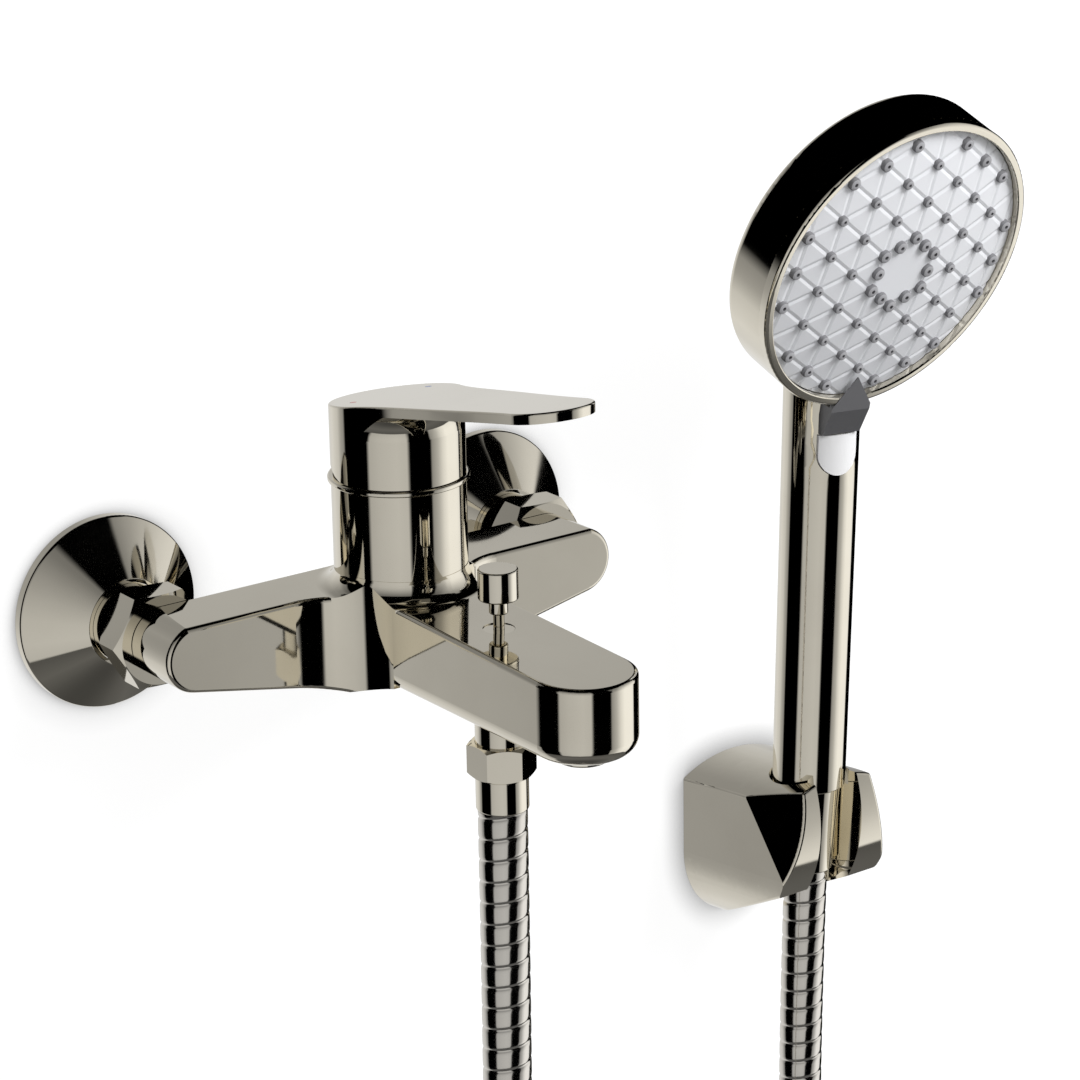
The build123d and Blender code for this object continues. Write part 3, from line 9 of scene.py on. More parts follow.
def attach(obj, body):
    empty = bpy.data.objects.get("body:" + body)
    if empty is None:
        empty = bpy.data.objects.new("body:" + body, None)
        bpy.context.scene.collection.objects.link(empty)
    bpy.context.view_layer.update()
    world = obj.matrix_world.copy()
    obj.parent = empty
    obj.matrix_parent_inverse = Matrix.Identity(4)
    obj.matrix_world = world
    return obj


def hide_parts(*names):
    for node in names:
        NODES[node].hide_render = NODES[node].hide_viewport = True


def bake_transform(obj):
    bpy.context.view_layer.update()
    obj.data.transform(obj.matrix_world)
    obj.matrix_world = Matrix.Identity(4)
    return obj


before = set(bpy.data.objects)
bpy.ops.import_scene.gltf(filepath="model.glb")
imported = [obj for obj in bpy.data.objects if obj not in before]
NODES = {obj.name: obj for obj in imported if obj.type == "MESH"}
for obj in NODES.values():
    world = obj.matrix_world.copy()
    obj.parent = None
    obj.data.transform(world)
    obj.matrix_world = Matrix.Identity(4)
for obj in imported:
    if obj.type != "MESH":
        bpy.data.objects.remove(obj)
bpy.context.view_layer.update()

bl_info = {
    "name": "Bath faucet looks",
    "version": (1, 0, 0),
    "blender": (4, 5, 0),
    "location": "3D View > Sidebar > Faucet",
    "description": "Hose, spray face, finishes and stage of a wall mounted bath faucet",
    "category": "Object",
}

MM = 0.001
WELD = 1e-6

# route of the hose, in millimetres, from under the spout to the foot of the hand shower
HOSE_ROUTE = [
    (0, -116, -51),
    (0, -116, -150),
    (-3.7, -117.5, -290),
    (-8.4, -119.3, -405),
    (-6.5, -118.5, -485),
    (12.1, -111.3, -548),
    (48.5, -97.1, -594),
    (96, -78.6, -611),
    (143.5, -60.1, -597),
    (180.8, -44.6, -553),
    (198.5, -37.7, -491),
    (198.5, -36.7, -416),
    (192.5, -37.6, -318),
    (189.1, -39.15, -232),
    (189.1, -42.26, -147.18),
]
HOSE_ACROSS = Vector((0.363, -0.932, 0)).normalized()

# the hand shower from the foot of its handle up, and its head, whose face looks along +Z
HANDSET_FOOT = (0.1891, -0.0435, -0.1135)
HANDSET_LEAN = math.radians(2.1)
HEAD_ON_HANDSET = (0, -0.0355, 0.2037)
HEAD_TURN = math.radians(108.5)
HANDSET = Matrix.Translation(HANDSET_FOOT) @ Matrix.Rotation(HANDSET_LEAN, 4, "X")
HEAD = HANDSET @ Matrix.Translation(HEAD_ON_HANDSET) @ Matrix.Rotation(HEAD_TURN, 4, "X")

# brightness of the studio round the object: degrees from the camera to its right, share of white
STUDIO_STRIPS = [
    (-180, 0.80), (-168, 0.78), (-155, 0.72), (-140, 0.76), (-118, 0.62), (-108, 0.38), (-101, 0.30),
    (-97, 0.0), (-52, 0.0), (-47, 0.46), (-30, 0.52), (0, 0.57), (17, 0.54),
    (22, 0.0), (59, 0.0), (62, 0.30), (74, 0.50), (84, 0.80), (95, 1.0),
    (116, 1.0), (125, 0.92), (128, 0.0), (171, 0.0), (175, 0.70), (180, 0.80),
]
# share of that brightness by height above the horizon, in degrees
STUDIO_HEIGHTS = [
    (-90, 0.0), (-43.5, 0.0), (-42, 0.92), (-29, 1.0), (-19, 0.98), (-10, 0.95), (-1, 0.86), (8, 0.76),
    (16, 0.65), (23, 0.56), (30, 0.46), (36, 0.36), (43, 0.31), (44.5, 0.0), (90, 0.0),
]
# the white wall under the horizon: brightness by side, and by height
STUDIO_WALL = [
    (-180, 0.72), (-150, 0.72), (-118, 0.55), (-101, 0.28), (-97, 0.0),
    (171, 0.0), (175, 0.65), (180, 0.72),
]
STUDIO_SKIRTING = [(-90, 0.0), (-64, 0.0), (-60, 0.8), (-43.5, 0.92), (-42, 0.0), (90, 0.0)]
# brightness of the grey floor of the studio, by height
STUDIO_FLOOR = [
    (-90, 0.06), (-80, 0.06), (-67, 0.10), (-59, 0.125), (-44, 0.09), (-42, 0.0), (90, 0.0),
]


def look_turn(azimuth, elevation, roll):
    """Rotation of a camera that looks at the object from that side."""
    back = Vector((math.sin(azimuth) * math.cos(elevation),
                   -math.cos(azimuth) * math.cos(elevation),
                   math.sin(elevation)))
    return (-back).to_track_quat("-Z", "Y") @ Quaternion((0, 0, 1), roll)


def deselect():
    """Object mode with nothing selected."""
    if bpy.context.object and bpy.context.object.mode != "OBJECT":
        bpy.ops.object.mode_set(mode="OBJECT")
    bpy.ops.object.select_all(action="DESELECT")


def only(obj):
    """Selects one object alone and makes it active."""
    deselect()
    obj.select_set(True)
    bpy.context.view_layer.objects.active = obj


def unpick(mesh):
    """Clears what edit mode left selected on a mesh."""
    for item in (*mesh.vertices, *mesh.edges, *mesh.polygons):
        item.select = False


def settle(obj, matrix):
    """Puts a finished piece in its place and leaves its object at the origin."""
    only(obj)
    obj.matrix_world = matrix @ obj.matrix_world
    bpy.context.view_layer.update()
    bpy.ops.object.transform_apply(location=True, rotation=True, scale=True)


def apply_all(obj):
    """Applies every modifier of a piece."""
    only(obj)
    for modifier in list(obj.modifiers):
        bpy.ops.object.modifier_apply(modifier=modifier.name)


# ---------------------------------------------------------------- settings


class StageSettings(bpy.types.PropertyGroup):
    """Camera, wall and light."""

    place: bpy.props.FloatVectorProperty(
        name="Camera place", description="Where the camera stands", size=3,
        subtype="TRANSLATION", unit="LENGTH", default=(-0.59546, -0.95777, 0.37980))
    azimuth: bpy.props.FloatProperty(
        name="Azimuth", description="Side from which the camera looks", subtype="ANGLE",
        default=math.radians(-36.01))
    elevation: bpy.props.FloatProperty(
        name="Elevation", description="Height of the camera above the horizon", subtype="ANGLE",
        default=math.radians(18.36))
    roll: bpy.props.FloatProperty(
        name="Roll", description="Turn of the camera about its own line of sight", subtype="ANGLE",
        default=math.radians(-0.97))
    lens: bpy.props.FloatProperty(
        name="Lens", description="Focal length of the camera", subtype="DISTANCE_CAMERA",
        default=117.54)
    wall: bpy.props.FloatVectorProperty(
        name="Wall", description="Colour of the wall and the floor", size=3, subtype="COLOR",
        min=0, max=1, default=(0.22, 0.22, 0.22))
    glow: bpy.props.FloatProperty(
        name="Wall glow", description="Brightness that the wall shows by itself", min=0, default=0.90)
    # width of the painted contact shade in the glow of the wall and floor
    contact: bpy.props.FloatProperty(
        name="Contact", description="Width of the shade where a piece touches the wall",
        subtype="DISTANCE", unit="LENGTH", min=0, default=0.011)
    fill: bpy.props.FloatProperty(
        name="Fill", description="Even light from all sides", min=0, default=0.72)
    key: bpy.props.FloatProperty(
        name="Key lamp", description="Power of the large soft lamp", min=0, unit="POWER", default=32)


class HoseSettings(bpy.types.PropertyGroup):
    """Ribbed metal hose."""

    crest: bpy.props.FloatProperty(
        name="Diameter", description="Across the crests of the ribs", subtype="DISTANCE",
        unit="LENGTH", default=0.016)
    root: bpy.props.FloatProperty(
        name="Root diameter", description="Across the grooves between the ribs", subtype="DISTANCE",
        unit="LENGTH", default=0.0150)
    pitch: bpy.props.FloatProperty(
        name="Pitch", description="Length of one rib", subtype="DISTANCE", unit="LENGTH",
        default=0.0073)


class FaceSettings(bpy.types.PropertyGroup):
    """Spray face with its facets and nozzles."""

    radius: bpy.props.FloatProperty(
        name="Radius", description="Radius of the face plate", subtype="DISTANCE", unit="LENGTH",
        default=0.0523)
    edge: bpy.props.FloatProperty(
        name="Edge", description="Height of the plate's edge against the head's front plane",
        subtype="DISTANCE", unit="LENGTH", default=-0.0014)
    dome: bpy.props.FloatProperty(
        name="Dome", description="Rise of the plate from its edge to its middle", subtype="DISTANCE",
        unit="LENGTH", default=0.005)
    back: bpy.props.FloatProperty(
        name="Back", description="Height of the plate's back", subtype="DISTANCE", unit="LENGTH",
        default=-0.0034)
    pitch: bpy.props.FloatProperty(
        name="Pitch", description="Distance between neighbouring nozzles", subtype="DISTANCE",
        unit="LENGTH", default=0.0134)
    turn: bpy.props.FloatProperty(
        name="Turn", description="Turn of the nozzle rows on the face", subtype="ANGLE",
        default=math.radians(23))
    facet: bpy.props.FloatProperty(
        name="Facet", description="Height of the raised triangles between the nozzles",
        subtype="DISTANCE", unit="LENGTH", default=0.00026)
    groove: bpy.props.FloatProperty(
        name="Groove", description="Half the width of the grooves from nozzle to nozzle",
        subtype="DISTANCE", unit="LENGTH", default=0.0011)
    proud: bpy.props.FloatProperty(
        name="Nozzle height", description="Height of the nozzles above the plate",
        subtype="DISTANCE", unit="LENGTH", default=0.0018)


class FinishSettings(bpy.types.PropertyGroup):
    """Colours of the finishes."""

    nickel: bpy.props.FloatVectorProperty(
        name="Nickel", description="Warm polished plating", size=3, subtype="COLOR", min=0, max=1,
        default=(0.87, 0.82, 0.70))
    plate: bpy.props.FloatVectorProperty(
        name="Face plate", description="Pale cool plastic of the spray face", size=3,
        subtype="COLOR", min=0, max=1, default=(0.86, 0.87, 0.90))
    nozzle: bpy.props.FloatVectorProperty(
        name="Nozzles", description="Grey rubber", size=3, subtype="COLOR", min=0, max=1,
        default=(0.05, 0.05, 0.053))
    # paler colour painted on the outward faces of each nozzle's tip as a painted highlight
    nozzle_tip: bpy.props.FloatVectorProperty(
        name="Nozzle highlight", description="Paler middle of each nozzle", size=3, subtype="COLOR",
        min=0, max=1, default=(0.42, 0.42, 0.44))
    button: bpy.props.FloatVectorProperty(
        name="Button", description="White plastic of the selector", size=3, subtype="COLOR",
        min=0, max=1, default=(0.86, 0.86, 0.86))
    band: bpy.props.FloatVectorProperty(
        name="Selector band", description="Dark grey plastic above the button", size=3,
        subtype="COLOR", min=0, max=1, default=(0.16, 0.16, 0.17))


# ---------------------------------------------------------------- shared effects


def group(name, inputs, outputs):
    """Empty shader node group with named sockets."""
    tree = bpy.data.node_groups.new(name, "ShaderNodeTree")
    for label, kind, value in inputs:
        socket = tree.interface.new_socket(label, in_out="INPUT", socket_type=kind)
        if value is not None:
            socket.default_value = value
    for label, kind in outputs:
        tree.interface.new_socket(label, in_out="OUTPUT", socket_type=kind)
    return tree, tree.nodes.new("NodeGroupInput"), tree.nodes.new("NodeGroupOutput")


def noise(tree, vector, scale, detail=3.0, stretch=None):
    """Noise on object coordinates, drawn out along one axis where stretch is given."""
    if stretch:
        mapping = tree.nodes.new("ShaderNodeMapping")
        mapping.inputs["Scale"].default_value = stretch
        tree.links.new(vector, mapping.inputs["Vector"])
        vector = mapping.outputs[0]
    node = tree.nodes.new("ShaderNodeTexNoise")
    node.inputs["Scale"].default_value = scale
    node.inputs["Detail"].default_value = detail
    tree.links.new(vector, node.inputs["Vector"])
    return node.outputs["Fac"]


def spread(tree, value, low, high, new_low, new_high):
    """Maps a value from one range to another and keeps it inside."""
    node = tree.nodes.new("ShaderNodeMapRange")
    node.inputs["From Min"].default_value = low
    node.inputs["From Max"].default_value = high
    for label, end in (("To Min", new_low), ("To Max", new_high)):
        if isinstance(end, (int, float)):
            node.inputs[label].default_value = end
        else:
            tree.links.new(end, node.inputs[label])
    tree.links.new(value, node.inputs["Value"])
    return node.outputs["Result"]


def math_node(tree, operation, a, b):
    """One step of arithmetic on sockets or numbers."""
    node = tree.nodes.new("ShaderNodeMath")
    node.operation = operation
    for socket, value in zip(node.inputs, (a, b)):
        if isinstance(value, (int, float)):
            socket.default_value = value
        else:
            tree.links.new(value, socket)
    return node.outputs[0]


def polish_group():
    """Polished plating: faint smudges, hairline wiping marks and a trace of casting ripple."""
    tree, inside, outside = group(
        "polish",
        [("Vector", "NodeSocketVector", None), ("Colour", "NodeSocketColor", None),
         ("Smooth", "NodeSocketFloat", 0.03), ("Smudged", "NodeSocketFloat", 0.09)],
        [("Colour", "NodeSocketColor"), ("Roughness", "NodeSocketFloat"), ("Height", "NodeSocketFloat")])
    vector = inside.outputs["Vector"]
    smudge = noise(tree, vector, 34, 4)
    hair = noise(tree, vector, 900, 2, (0.06, 0.06, 1))
    ripple = noise(tree, vector, 55, 1)
    amount = spread(tree, smudge, 0.48, 0.72, inside.outputs["Smooth"], inside.outputs["Smudged"])
    tree.links.new(math_node(tree, "ADD", amount, math_node(tree, "MULTIPLY", hair, 0.02)),
                   outside.inputs["Roughness"])
    tone = tree.nodes.new("ShaderNodeMix")
    tone.data_type = "RGBA"
    tone.blend_type = "MULTIPLY"
    tone.inputs["B"].default_value = (0.90, 0.89, 0.88, 1)
    tree.links.new(spread(tree, smudge, 0.45, 0.75, 0, 0.5), tone.inputs["Factor"])
    tree.links.new(inside.outputs["Colour"], tone.inputs["A"])
    tree.links.new(tone.outputs["Result"], outside.inputs["Colour"])
    tree.links.new(math_node(tree, "ADD", math_node(tree, "MULTIPLY", hair, 0.08), ripple),
                   outside.inputs["Height"])
    return tree


def moulded_group():
    """Moulded plastic or rubber: fine grain, slow drift of tone and uneven gloss."""
    tree, inside, outside = group(
        "moulded",
        [("Vector", "NodeSocketVector", None), ("Colour", "NodeSocketColor", None),
         ("Glossy", "NodeSocketFloat", 0.2), ("Dull", "NodeSocketFloat", 0.35)],
        [("Colour", "NodeSocketColor"), ("Roughness", "NodeSocketFloat"), ("Height", "NodeSocketFloat")])
    vector = inside.outputs["Vector"]
    grain = noise(tree, vector, 2600, 2)
    drift = noise(tree, vector, 60, 3)
    tree.links.new(spread(tree, drift, 0.35, 0.7, inside.outputs["Glossy"], inside.outputs["Dull"]),
                   outside.inputs["Roughness"])
    tone = tree.nodes.new("ShaderNodeMix")
    tone.data_type = "RGBA"
    tone.blend_type = "MULTIPLY"
    tone.inputs["B"].default_value = (0.93, 0.93, 0.92, 1)
    tree.links.new(spread(tree, drift, 0.4, 0.7, 0, 0.7), tone.inputs["Factor"])
    tree.links.new(inside.outputs["Colour"], tone.inputs["A"])
    tree.links.new(tone.outputs["Result"], outside.inputs["Colour"])
    tree.links.new(grain, outside.inputs["Height"])
    return tree


EFFECTS = {"polish": polish_group, "moulded": moulded_group}


def finish_material(name, effect, colour, sharp, dull, bump, **sockets):
    """A material whose colour, roughness and relief come from a shared effect."""
    material = bpy.data.materials.get(name)
    if material:
        return material
    material = bpy.data.materials.new(name)
    material.use_nodes = True
    material.diffuse_color = (*colour, 1)
    tree = material.node_tree
    shader = tree.nodes["Principled BSDF"]
    coordinates = tree.nodes.new("ShaderNodeTexCoord")
    box = tree.nodes.new("ShaderNodeGroup")
    box.node_tree = bpy.data.node_groups.get(effect) or EFFECTS[effect]()
    box.inputs["Colour"].default_value = (*colour, 1)
    box.inputs[2].default_value = sharp
    box.inputs[3].default_value = dull
    relief = tree.nodes.new("ShaderNodeBump")
    relief.inputs["Strength"].default_value = 1
    relief.inputs["Distance"].default_value = bump
    tree.links.new(coordinates.outputs["Object"], box.inputs["Vector"])
    tree.links.new(box.outputs["Colour"], shader.inputs["Base Color"])
    tree.links.new(box.outputs["Roughness"], shader.inputs["Roughness"])
    tree.links.new(box.outputs["Height"], relief.inputs["Height"])
    tree.links.new(relief.outputs["Normal"], shader.inputs["Normal"])
    for label, value in sockets.items():
        shader.inputs[label.replace("_", " ")].default_value = value
    return material


def nickel(context):
    """Warm polished nickel."""
    colour = context.scene.faucet_finish.nickel
    return finish_material("polished_nickel", "polish", colour, 0.03, 0.075, 2e-6, Metallic=1.0)


# ---------------------------------------------------------------- stage


class FAUCET_OT_stage(bpy.types.Operator):
    """Camera, wall, floor, soft lamp and studio"""

    bl_idname = "faucet.stage"
    bl_label = "Stage"

    SENSOR = 36
    PLANE = 8
    BEHIND = 0.0002
    FLOOR_DROP = 0.75
    FLOOR_GAP = 0.02
    LAMP_PLACE = Vector((1.0, -1.3, 1.15))
    LAMP_AIM = Vector((0.06, 0, -0.1))
    LAMP_SIZE = 0.9
    CONTACT_OPEN = 0.30
    CONTACT_SHADE = 0.20

    def execute(self, context):
        stage = context.scene.faucet_stage
        deselect()
        bpy.ops.object.camera_add(location=stage.place)
        camera = context.object
        camera.name = "photo_camera"
        camera.rotation_mode = "QUATERNION"
        camera.rotation_quaternion = look_turn(stage.azimuth, stage.elevation, stage.roll)
        camera.data.lens = stage.lens
        camera.data.sensor_width = self.SENSOR
        camera.data.clip_start = 0.01
        context.scene.camera = camera
        context.scene.view_settings.view_transform = "Standard"
        paint = self.wall_paint(stage)
        floor_place = (0, -self.PLANE / 2 - self.FLOOR_GAP, -self.FLOOR_DROP)
        planes = (("wall", (0, self.BEHIND, 0), math.radians(90)), ("floor", floor_place, 0))
        for name, place, turn in planes:
            deselect()
            bpy.ops.mesh.primitive_plane_add(size=self.PLANE, location=place, rotation=(turn, 0, 0))
            plane = context.object
            plane.name = name
            plane.data.materials.append(paint)
            plane.visible_glossy = False
        deselect()
        bpy.ops.object.light_add(type="AREA", radius=self.LAMP_SIZE, location=self.LAMP_PLACE)
        lamp = context.object
        lamp.name = "soft_lamp"
        lamp.rotation_mode = "QUATERNION"
        lamp.rotation_quaternion = (self.LAMP_AIM - self.LAMP_PLACE).to_track_quat("-Z", "Y")
        lamp.data.energy = stage.key
        lamp.data.size = self.LAMP_SIZE
        lamp.visible_glossy = False
        self.studio(context, stage)
        return {"FINISHED"}

    def wall_paint(self, stage):
        """White paint with the object's real shadow on it, and a painted contact shade in its glow where
        pieces touch it; nothing is seen of it from behind.
        """
        material = bpy.data.materials.new("white_paint")
        material.use_nodes = True
        tree = material.node_tree
        shader = tree.nodes["Principled BSDF"]
        shader.inputs["Base Color"].default_value = (*stage.wall, 1)
        shader.inputs["Roughness"].default_value = 0.9
        shader.inputs["Specular IOR Level"].default_value = 0
        paths = tree.nodes.new("ShaderNodeLightPath")
        sides = tree.nodes.new("ShaderNodeNewGeometry")
        glow = tree.nodes.new("ShaderNodeEmission")
        glow.inputs["Color"].default_value = (1, 1, 1, 1)
        # painted contact shade: ambient occlusion dims the wall's own glow where a piece touches the
        # wall or the floor
        near = tree.nodes.new("ShaderNodeAmbientOcclusion")
        near.inputs["Distance"].default_value = stage.contact
        level = spread(tree, near.outputs["AO"], self.CONTACT_OPEN, 1.0,
                       stage.glow * self.CONTACT_SHADE, stage.glow)
        tree.links.new(math_node(tree, "MULTIPLY", paths.outputs["Is Camera Ray"], level),
                       glow.inputs["Strength"])
        lit = tree.nodes.new("ShaderNodeAddShader")
        tree.links.new(shader.outputs[0], lit.inputs[0])
        tree.links.new(glow.outputs[0], lit.inputs[1])
        clear = tree.nodes.new("ShaderNodeBsdfTransparent")
        mixed = tree.nodes.new("ShaderNodeMixShader")
        tree.links.new(sides.outputs["Backfacing"], mixed.inputs[0])
        tree.links.new(lit.outputs[0], mixed.inputs[1])
        tree.links.new(clear.outputs[0], mixed.inputs[2])
        tree.links.new(mixed.outputs[0], tree.nodes["Material Output"].inputs["Surface"])
        return material

    def studio(self, context, stage):
        """White surroundings; polished metal sees the panels and gaps of a studio."""
        world = bpy.data.worlds.new("studio")
        world.use_nodes = True
        context.scene.world = world
        tree = world.node_tree
        coordinates = tree.nodes.new("ShaderNodeTexCoord")
        direction = coordinates.outputs["Generated"]
        azimuth = stage.azimuth
        toward = (math.sin(azimuth), -math.cos(azimuth), 0)
        right = (math.cos(azimuth), math.sin(azimuth), 0)
        sides = []
        for axis in (right, toward):
            dot = tree.nodes.new("ShaderNodeVectorMath")
            dot.operation = "DOT_PRODUCT"
            dot.inputs[1].default_value = axis
            tree.links.new(direction, dot.inputs[0])
            sides.append(dot.outputs["Value"])
        turn = math_node(tree, "ARCTAN2", *sides)
        share = math_node(tree, "ADD", math_node(tree, "DIVIDE", turn, 2 * math.pi), 0.5)
        strips, wall = (
            self.ramp(tree, share, [((deg + 180) / 360, v) for deg, v in stops])
            for stops in (STUDIO_STRIPS, STUDIO_WALL))
        parts = tree.nodes.new("ShaderNodeSeparateXYZ")
        tree.links.new(direction, parts.inputs[0])
        height = math_node(tree, "ADD", math_node(tree, "DIVIDE", parts.outputs["Z"], 2), 0.5)
        heights, skirting, floor = (
            self.ramp(tree, height, [((math.sin(math.radians(deg)) + 1) / 2, v) for deg, v in stops])
            for stops in (STUDIO_HEIGHTS, STUDIO_SKIRTING, STUDIO_FLOOR))
        panels = math_node(tree, "ADD", math_node(tree, "MULTIPLY", strips, heights), floor)
        panels = math_node(tree, "ADD", math_node(tree, "MULTIPLY", wall, skirting), panels)
        paths = tree.nodes.new("ShaderNodeLightPath")
        seen = self.either(tree, paths.outputs["Is Glossy Ray"], stage.fill, panels)
        seen = self.either(tree, paths.outputs["Is Camera Ray"], seen, 1.0)
        seen = self.either(tree, paths.outputs["Is Transmission Ray"], seen, 1.0)
        tree.links.new(seen, tree.nodes["Background"].inputs["Strength"])
        tree.nodes["Background"].inputs["Color"].default_value = (1, 1, 1, 1)

    def ramp(self, tree, value, stops):
        """Brightness that changes along a value."""
        node = tree.nodes.new("ShaderNodeValToRGB")
        ramp = node.color_ramp
        while len(ramp.elements) < len(stops):
            ramp.elements.new(0.5)
        for element, (place, level) in zip(ramp.elements, stops):
            element.position = place
            element.color = (level, level, level, 1)
        tree.links.new(value, node.inputs[0])
        return node.outputs["Color"]

    def either(self, tree, test, no, yes):
        """One value where the test is 0 and another where it is 1."""
        node = tree.nodes.new("ShaderNodeMix")
        node.data_type = "FLOAT"
        tree.links.new(test, node.inputs["Factor"])
        for label, value in (("A", no), ("B", yes)):
            if isinstance(value, (int, float)):
                node.inputs[label].default_value = value
            else:
                tree.links.new(value, node.inputs[label])
        return node.outputs["Result"]


# ---------------------------------------------------------------- hose


class FAUCET_OT_hose(bpy.types.Operator):
    """Ribbed metal hose between the spout and the hand shower"""

    bl_idname = "faucet.hose"
    bl_label = "Hose"

    AROUND = 36
    # outline of one rib: share of the pitch, share of the rise from groove to crest
    RIB = (
        (0, 0), (0.06, 0.5), (0.13, 0.85), (0.25, 0.97),
        (0.5, 1), (0.75, 0.97), (0.87, 0.85), (0.94, 0.5),
    )

    def execute(self, context):
        size = context.scene.faucet_hose
        line = self.line()
        places, lengths = self.measured(line)
        hose = self.tube(places, lengths, size)
        material = finish_material("hose_metal", "polish", context.scene.faucet_finish.nickel,
                                   0.05, 0.12, 2e-6, Metallic=1.0)
        hose.data.materials.append(material)
        only(hose)
        bpy.ops.object.shade_smooth()
        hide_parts("hose")
        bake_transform(hose)
        return {"FINISHED"}

    def line(self):
        """The hose's line as a NURBS curve through the route's control points."""
        curve = bpy.data.curves.new("hose_line", "CURVE")
        curve.dimensions = "3D"
        curve.resolution_u = 48
        spline = curve.splines.new("NURBS")
        spline.points.add(len(HOSE_ROUTE) - 1)
        for point, place in zip(spline.points, HOSE_ROUTE):
            point.co = (*[c * MM for c in place], 1)
        spline.order_u = 3
        spline.use_endpoint_u = True
        holder = bpy.data.objects.new("hose_line", curve)
        bpy.context.scene.collection.objects.link(holder)
        bpy.context.view_layer.update()
        sampled = bpy.data.meshes.new_from_object(holder)
        points = [v.co.copy() for v in sampled.vertices]
        bpy.data.meshes.remove(sampled)
        bpy.data.objects.remove(holder)
        bpy.data.curves.remove(curve)
        return points

    def measured(self, points):
        """The line's points and the length of hose up to each."""
        places, lengths = [points[0]], [0.0]
        for point in points[1:]:
            step = (point - places[-1]).length
            if step > WELD:
                places.append(point)
                lengths.append(lengths[-1] + step)
        return places, lengths

    def tube(self, places, lengths, size):
        """Wound strip: one spiral rib with a narrow groove, as a closed tube along the line."""
        around, rib, pitch = self.AROUND, self.RIB, size.pitch
        low, high = size.root / 2, size.crest / 2
        turns = int(lengths[-1] / pitch) + 2
        rows = turns * len(rib)
        verts, faces = [], []
        spot = 0
        for row in range(rows):
            part, rise = rib[row % len(rib)]
            start = (row // len(rib) - 1 + part) * pitch
            for k in range(around):
                along = min(max(start + pitch * k / around, 0), lengths[-1])
                spot = self.find(lengths, along, spot)
                share = (along - lengths[spot]) / (lengths[spot + 1] - lengths[spot])
                middle = places[spot].lerp(places[spot + 1], share)
                before = places[max(spot - 1, 0)]
                after = places[min(spot + 2, len(places) - 1)]
                run = (after - before).normalized()
                side = (HOSE_ACROSS - run * HOSE_ACROSS.dot(run)).normalized()
                other = run.cross(side)
                angle = 2 * math.pi * k / around
                radius = low + (high - low) * rise
                verts.append(middle + (side * math.cos(angle) + other * math.sin(angle)) * radius)
        for row in range(rows - 1):
            for k in range(around):
                here = row * around + k
                if k < around - 1:
                    faces.append((here, here + 1, here + around + 1, here + around))
                elif row + 1 + len(rib) < rows:
                    over = (row + len(rib)) * around
                    faces.append((here, over, over + around, here + around))
        mesh = bpy.data.meshes.new("hose_tube")
        mesh.from_pydata(verts, [], faces)
        hose = bpy.data.objects.new("hose_tube", mesh)
        bpy.context.scene.collection.objects.link(hose)
        only(hose)
        bpy.ops.object.mode_set(mode="EDIT")
        bpy.ops.mesh.select_all(action="SELECT")
        bpy.ops.mesh.remove_doubles(threshold=WELD)
        bpy.ops.mesh.dissolve_degenerate(threshold=WELD)
        bpy.ops.mesh.normals_make_consistent(inside=False)
        bpy.ops.object.mode_set(mode="OBJECT")
        return hose

    def find(self, lengths, along, near):
        """Which stretch of the line holds that length."""
        while near > 0 and lengths[near] > along:
            near -= 1
        while near < len(lengths) - 2 and lengths[near + 1] < along:
            near += 1
        return near


# ---------------------------------------------------------------- spray face


RINGS = 4
OUTER_NOZZLE_R = 0.0023
NOZZLE_R = 0.0019
MIDDLE_NOZZLE_R = 0.0024


def dome_height(face, from_middle):
    """Height of the domed face at a distance from its middle."""
    return face.edge + face.dome * (1 - (from_middle / face.radius) ** 2)


def nozzle_spots(face):
    """Places of the nozzles on the face, and the radius of each."""
    across = Vector((math.cos(face.turn), math.sin(face.turn), 0)) * face.pitch
    turned = face.turn + math.radians(60)
    up = Vector((math.cos(turned), math.sin(turned), 0)) * face.pitch
    spots = []
    for i in range(-RINGS, RINGS + 1):
        for j in range(-RINGS, RINGS + 1):
            ring = max(abs(i), abs(j), abs(i + j))
            if ring in (2, 3) or ring == RINGS and 0 not in (i, j, i + j):
                spots.append((across * i + up * j, OUTER_NOZZLE_R if ring == RINGS else NOZZLE_R))
    for sixth in range(6):
        here = Matrix.Rotation(math.radians(60 * sixth), 3, "Z") @ across
        after = Matrix.Rotation(math.radians(60 * sixth + 60), 3, "Z") @ across
        spots += [(here, MIDDLE_NOZZLE_R), ((here + after) / 2, MIDDLE_NOZZLE_R)]
    return spots


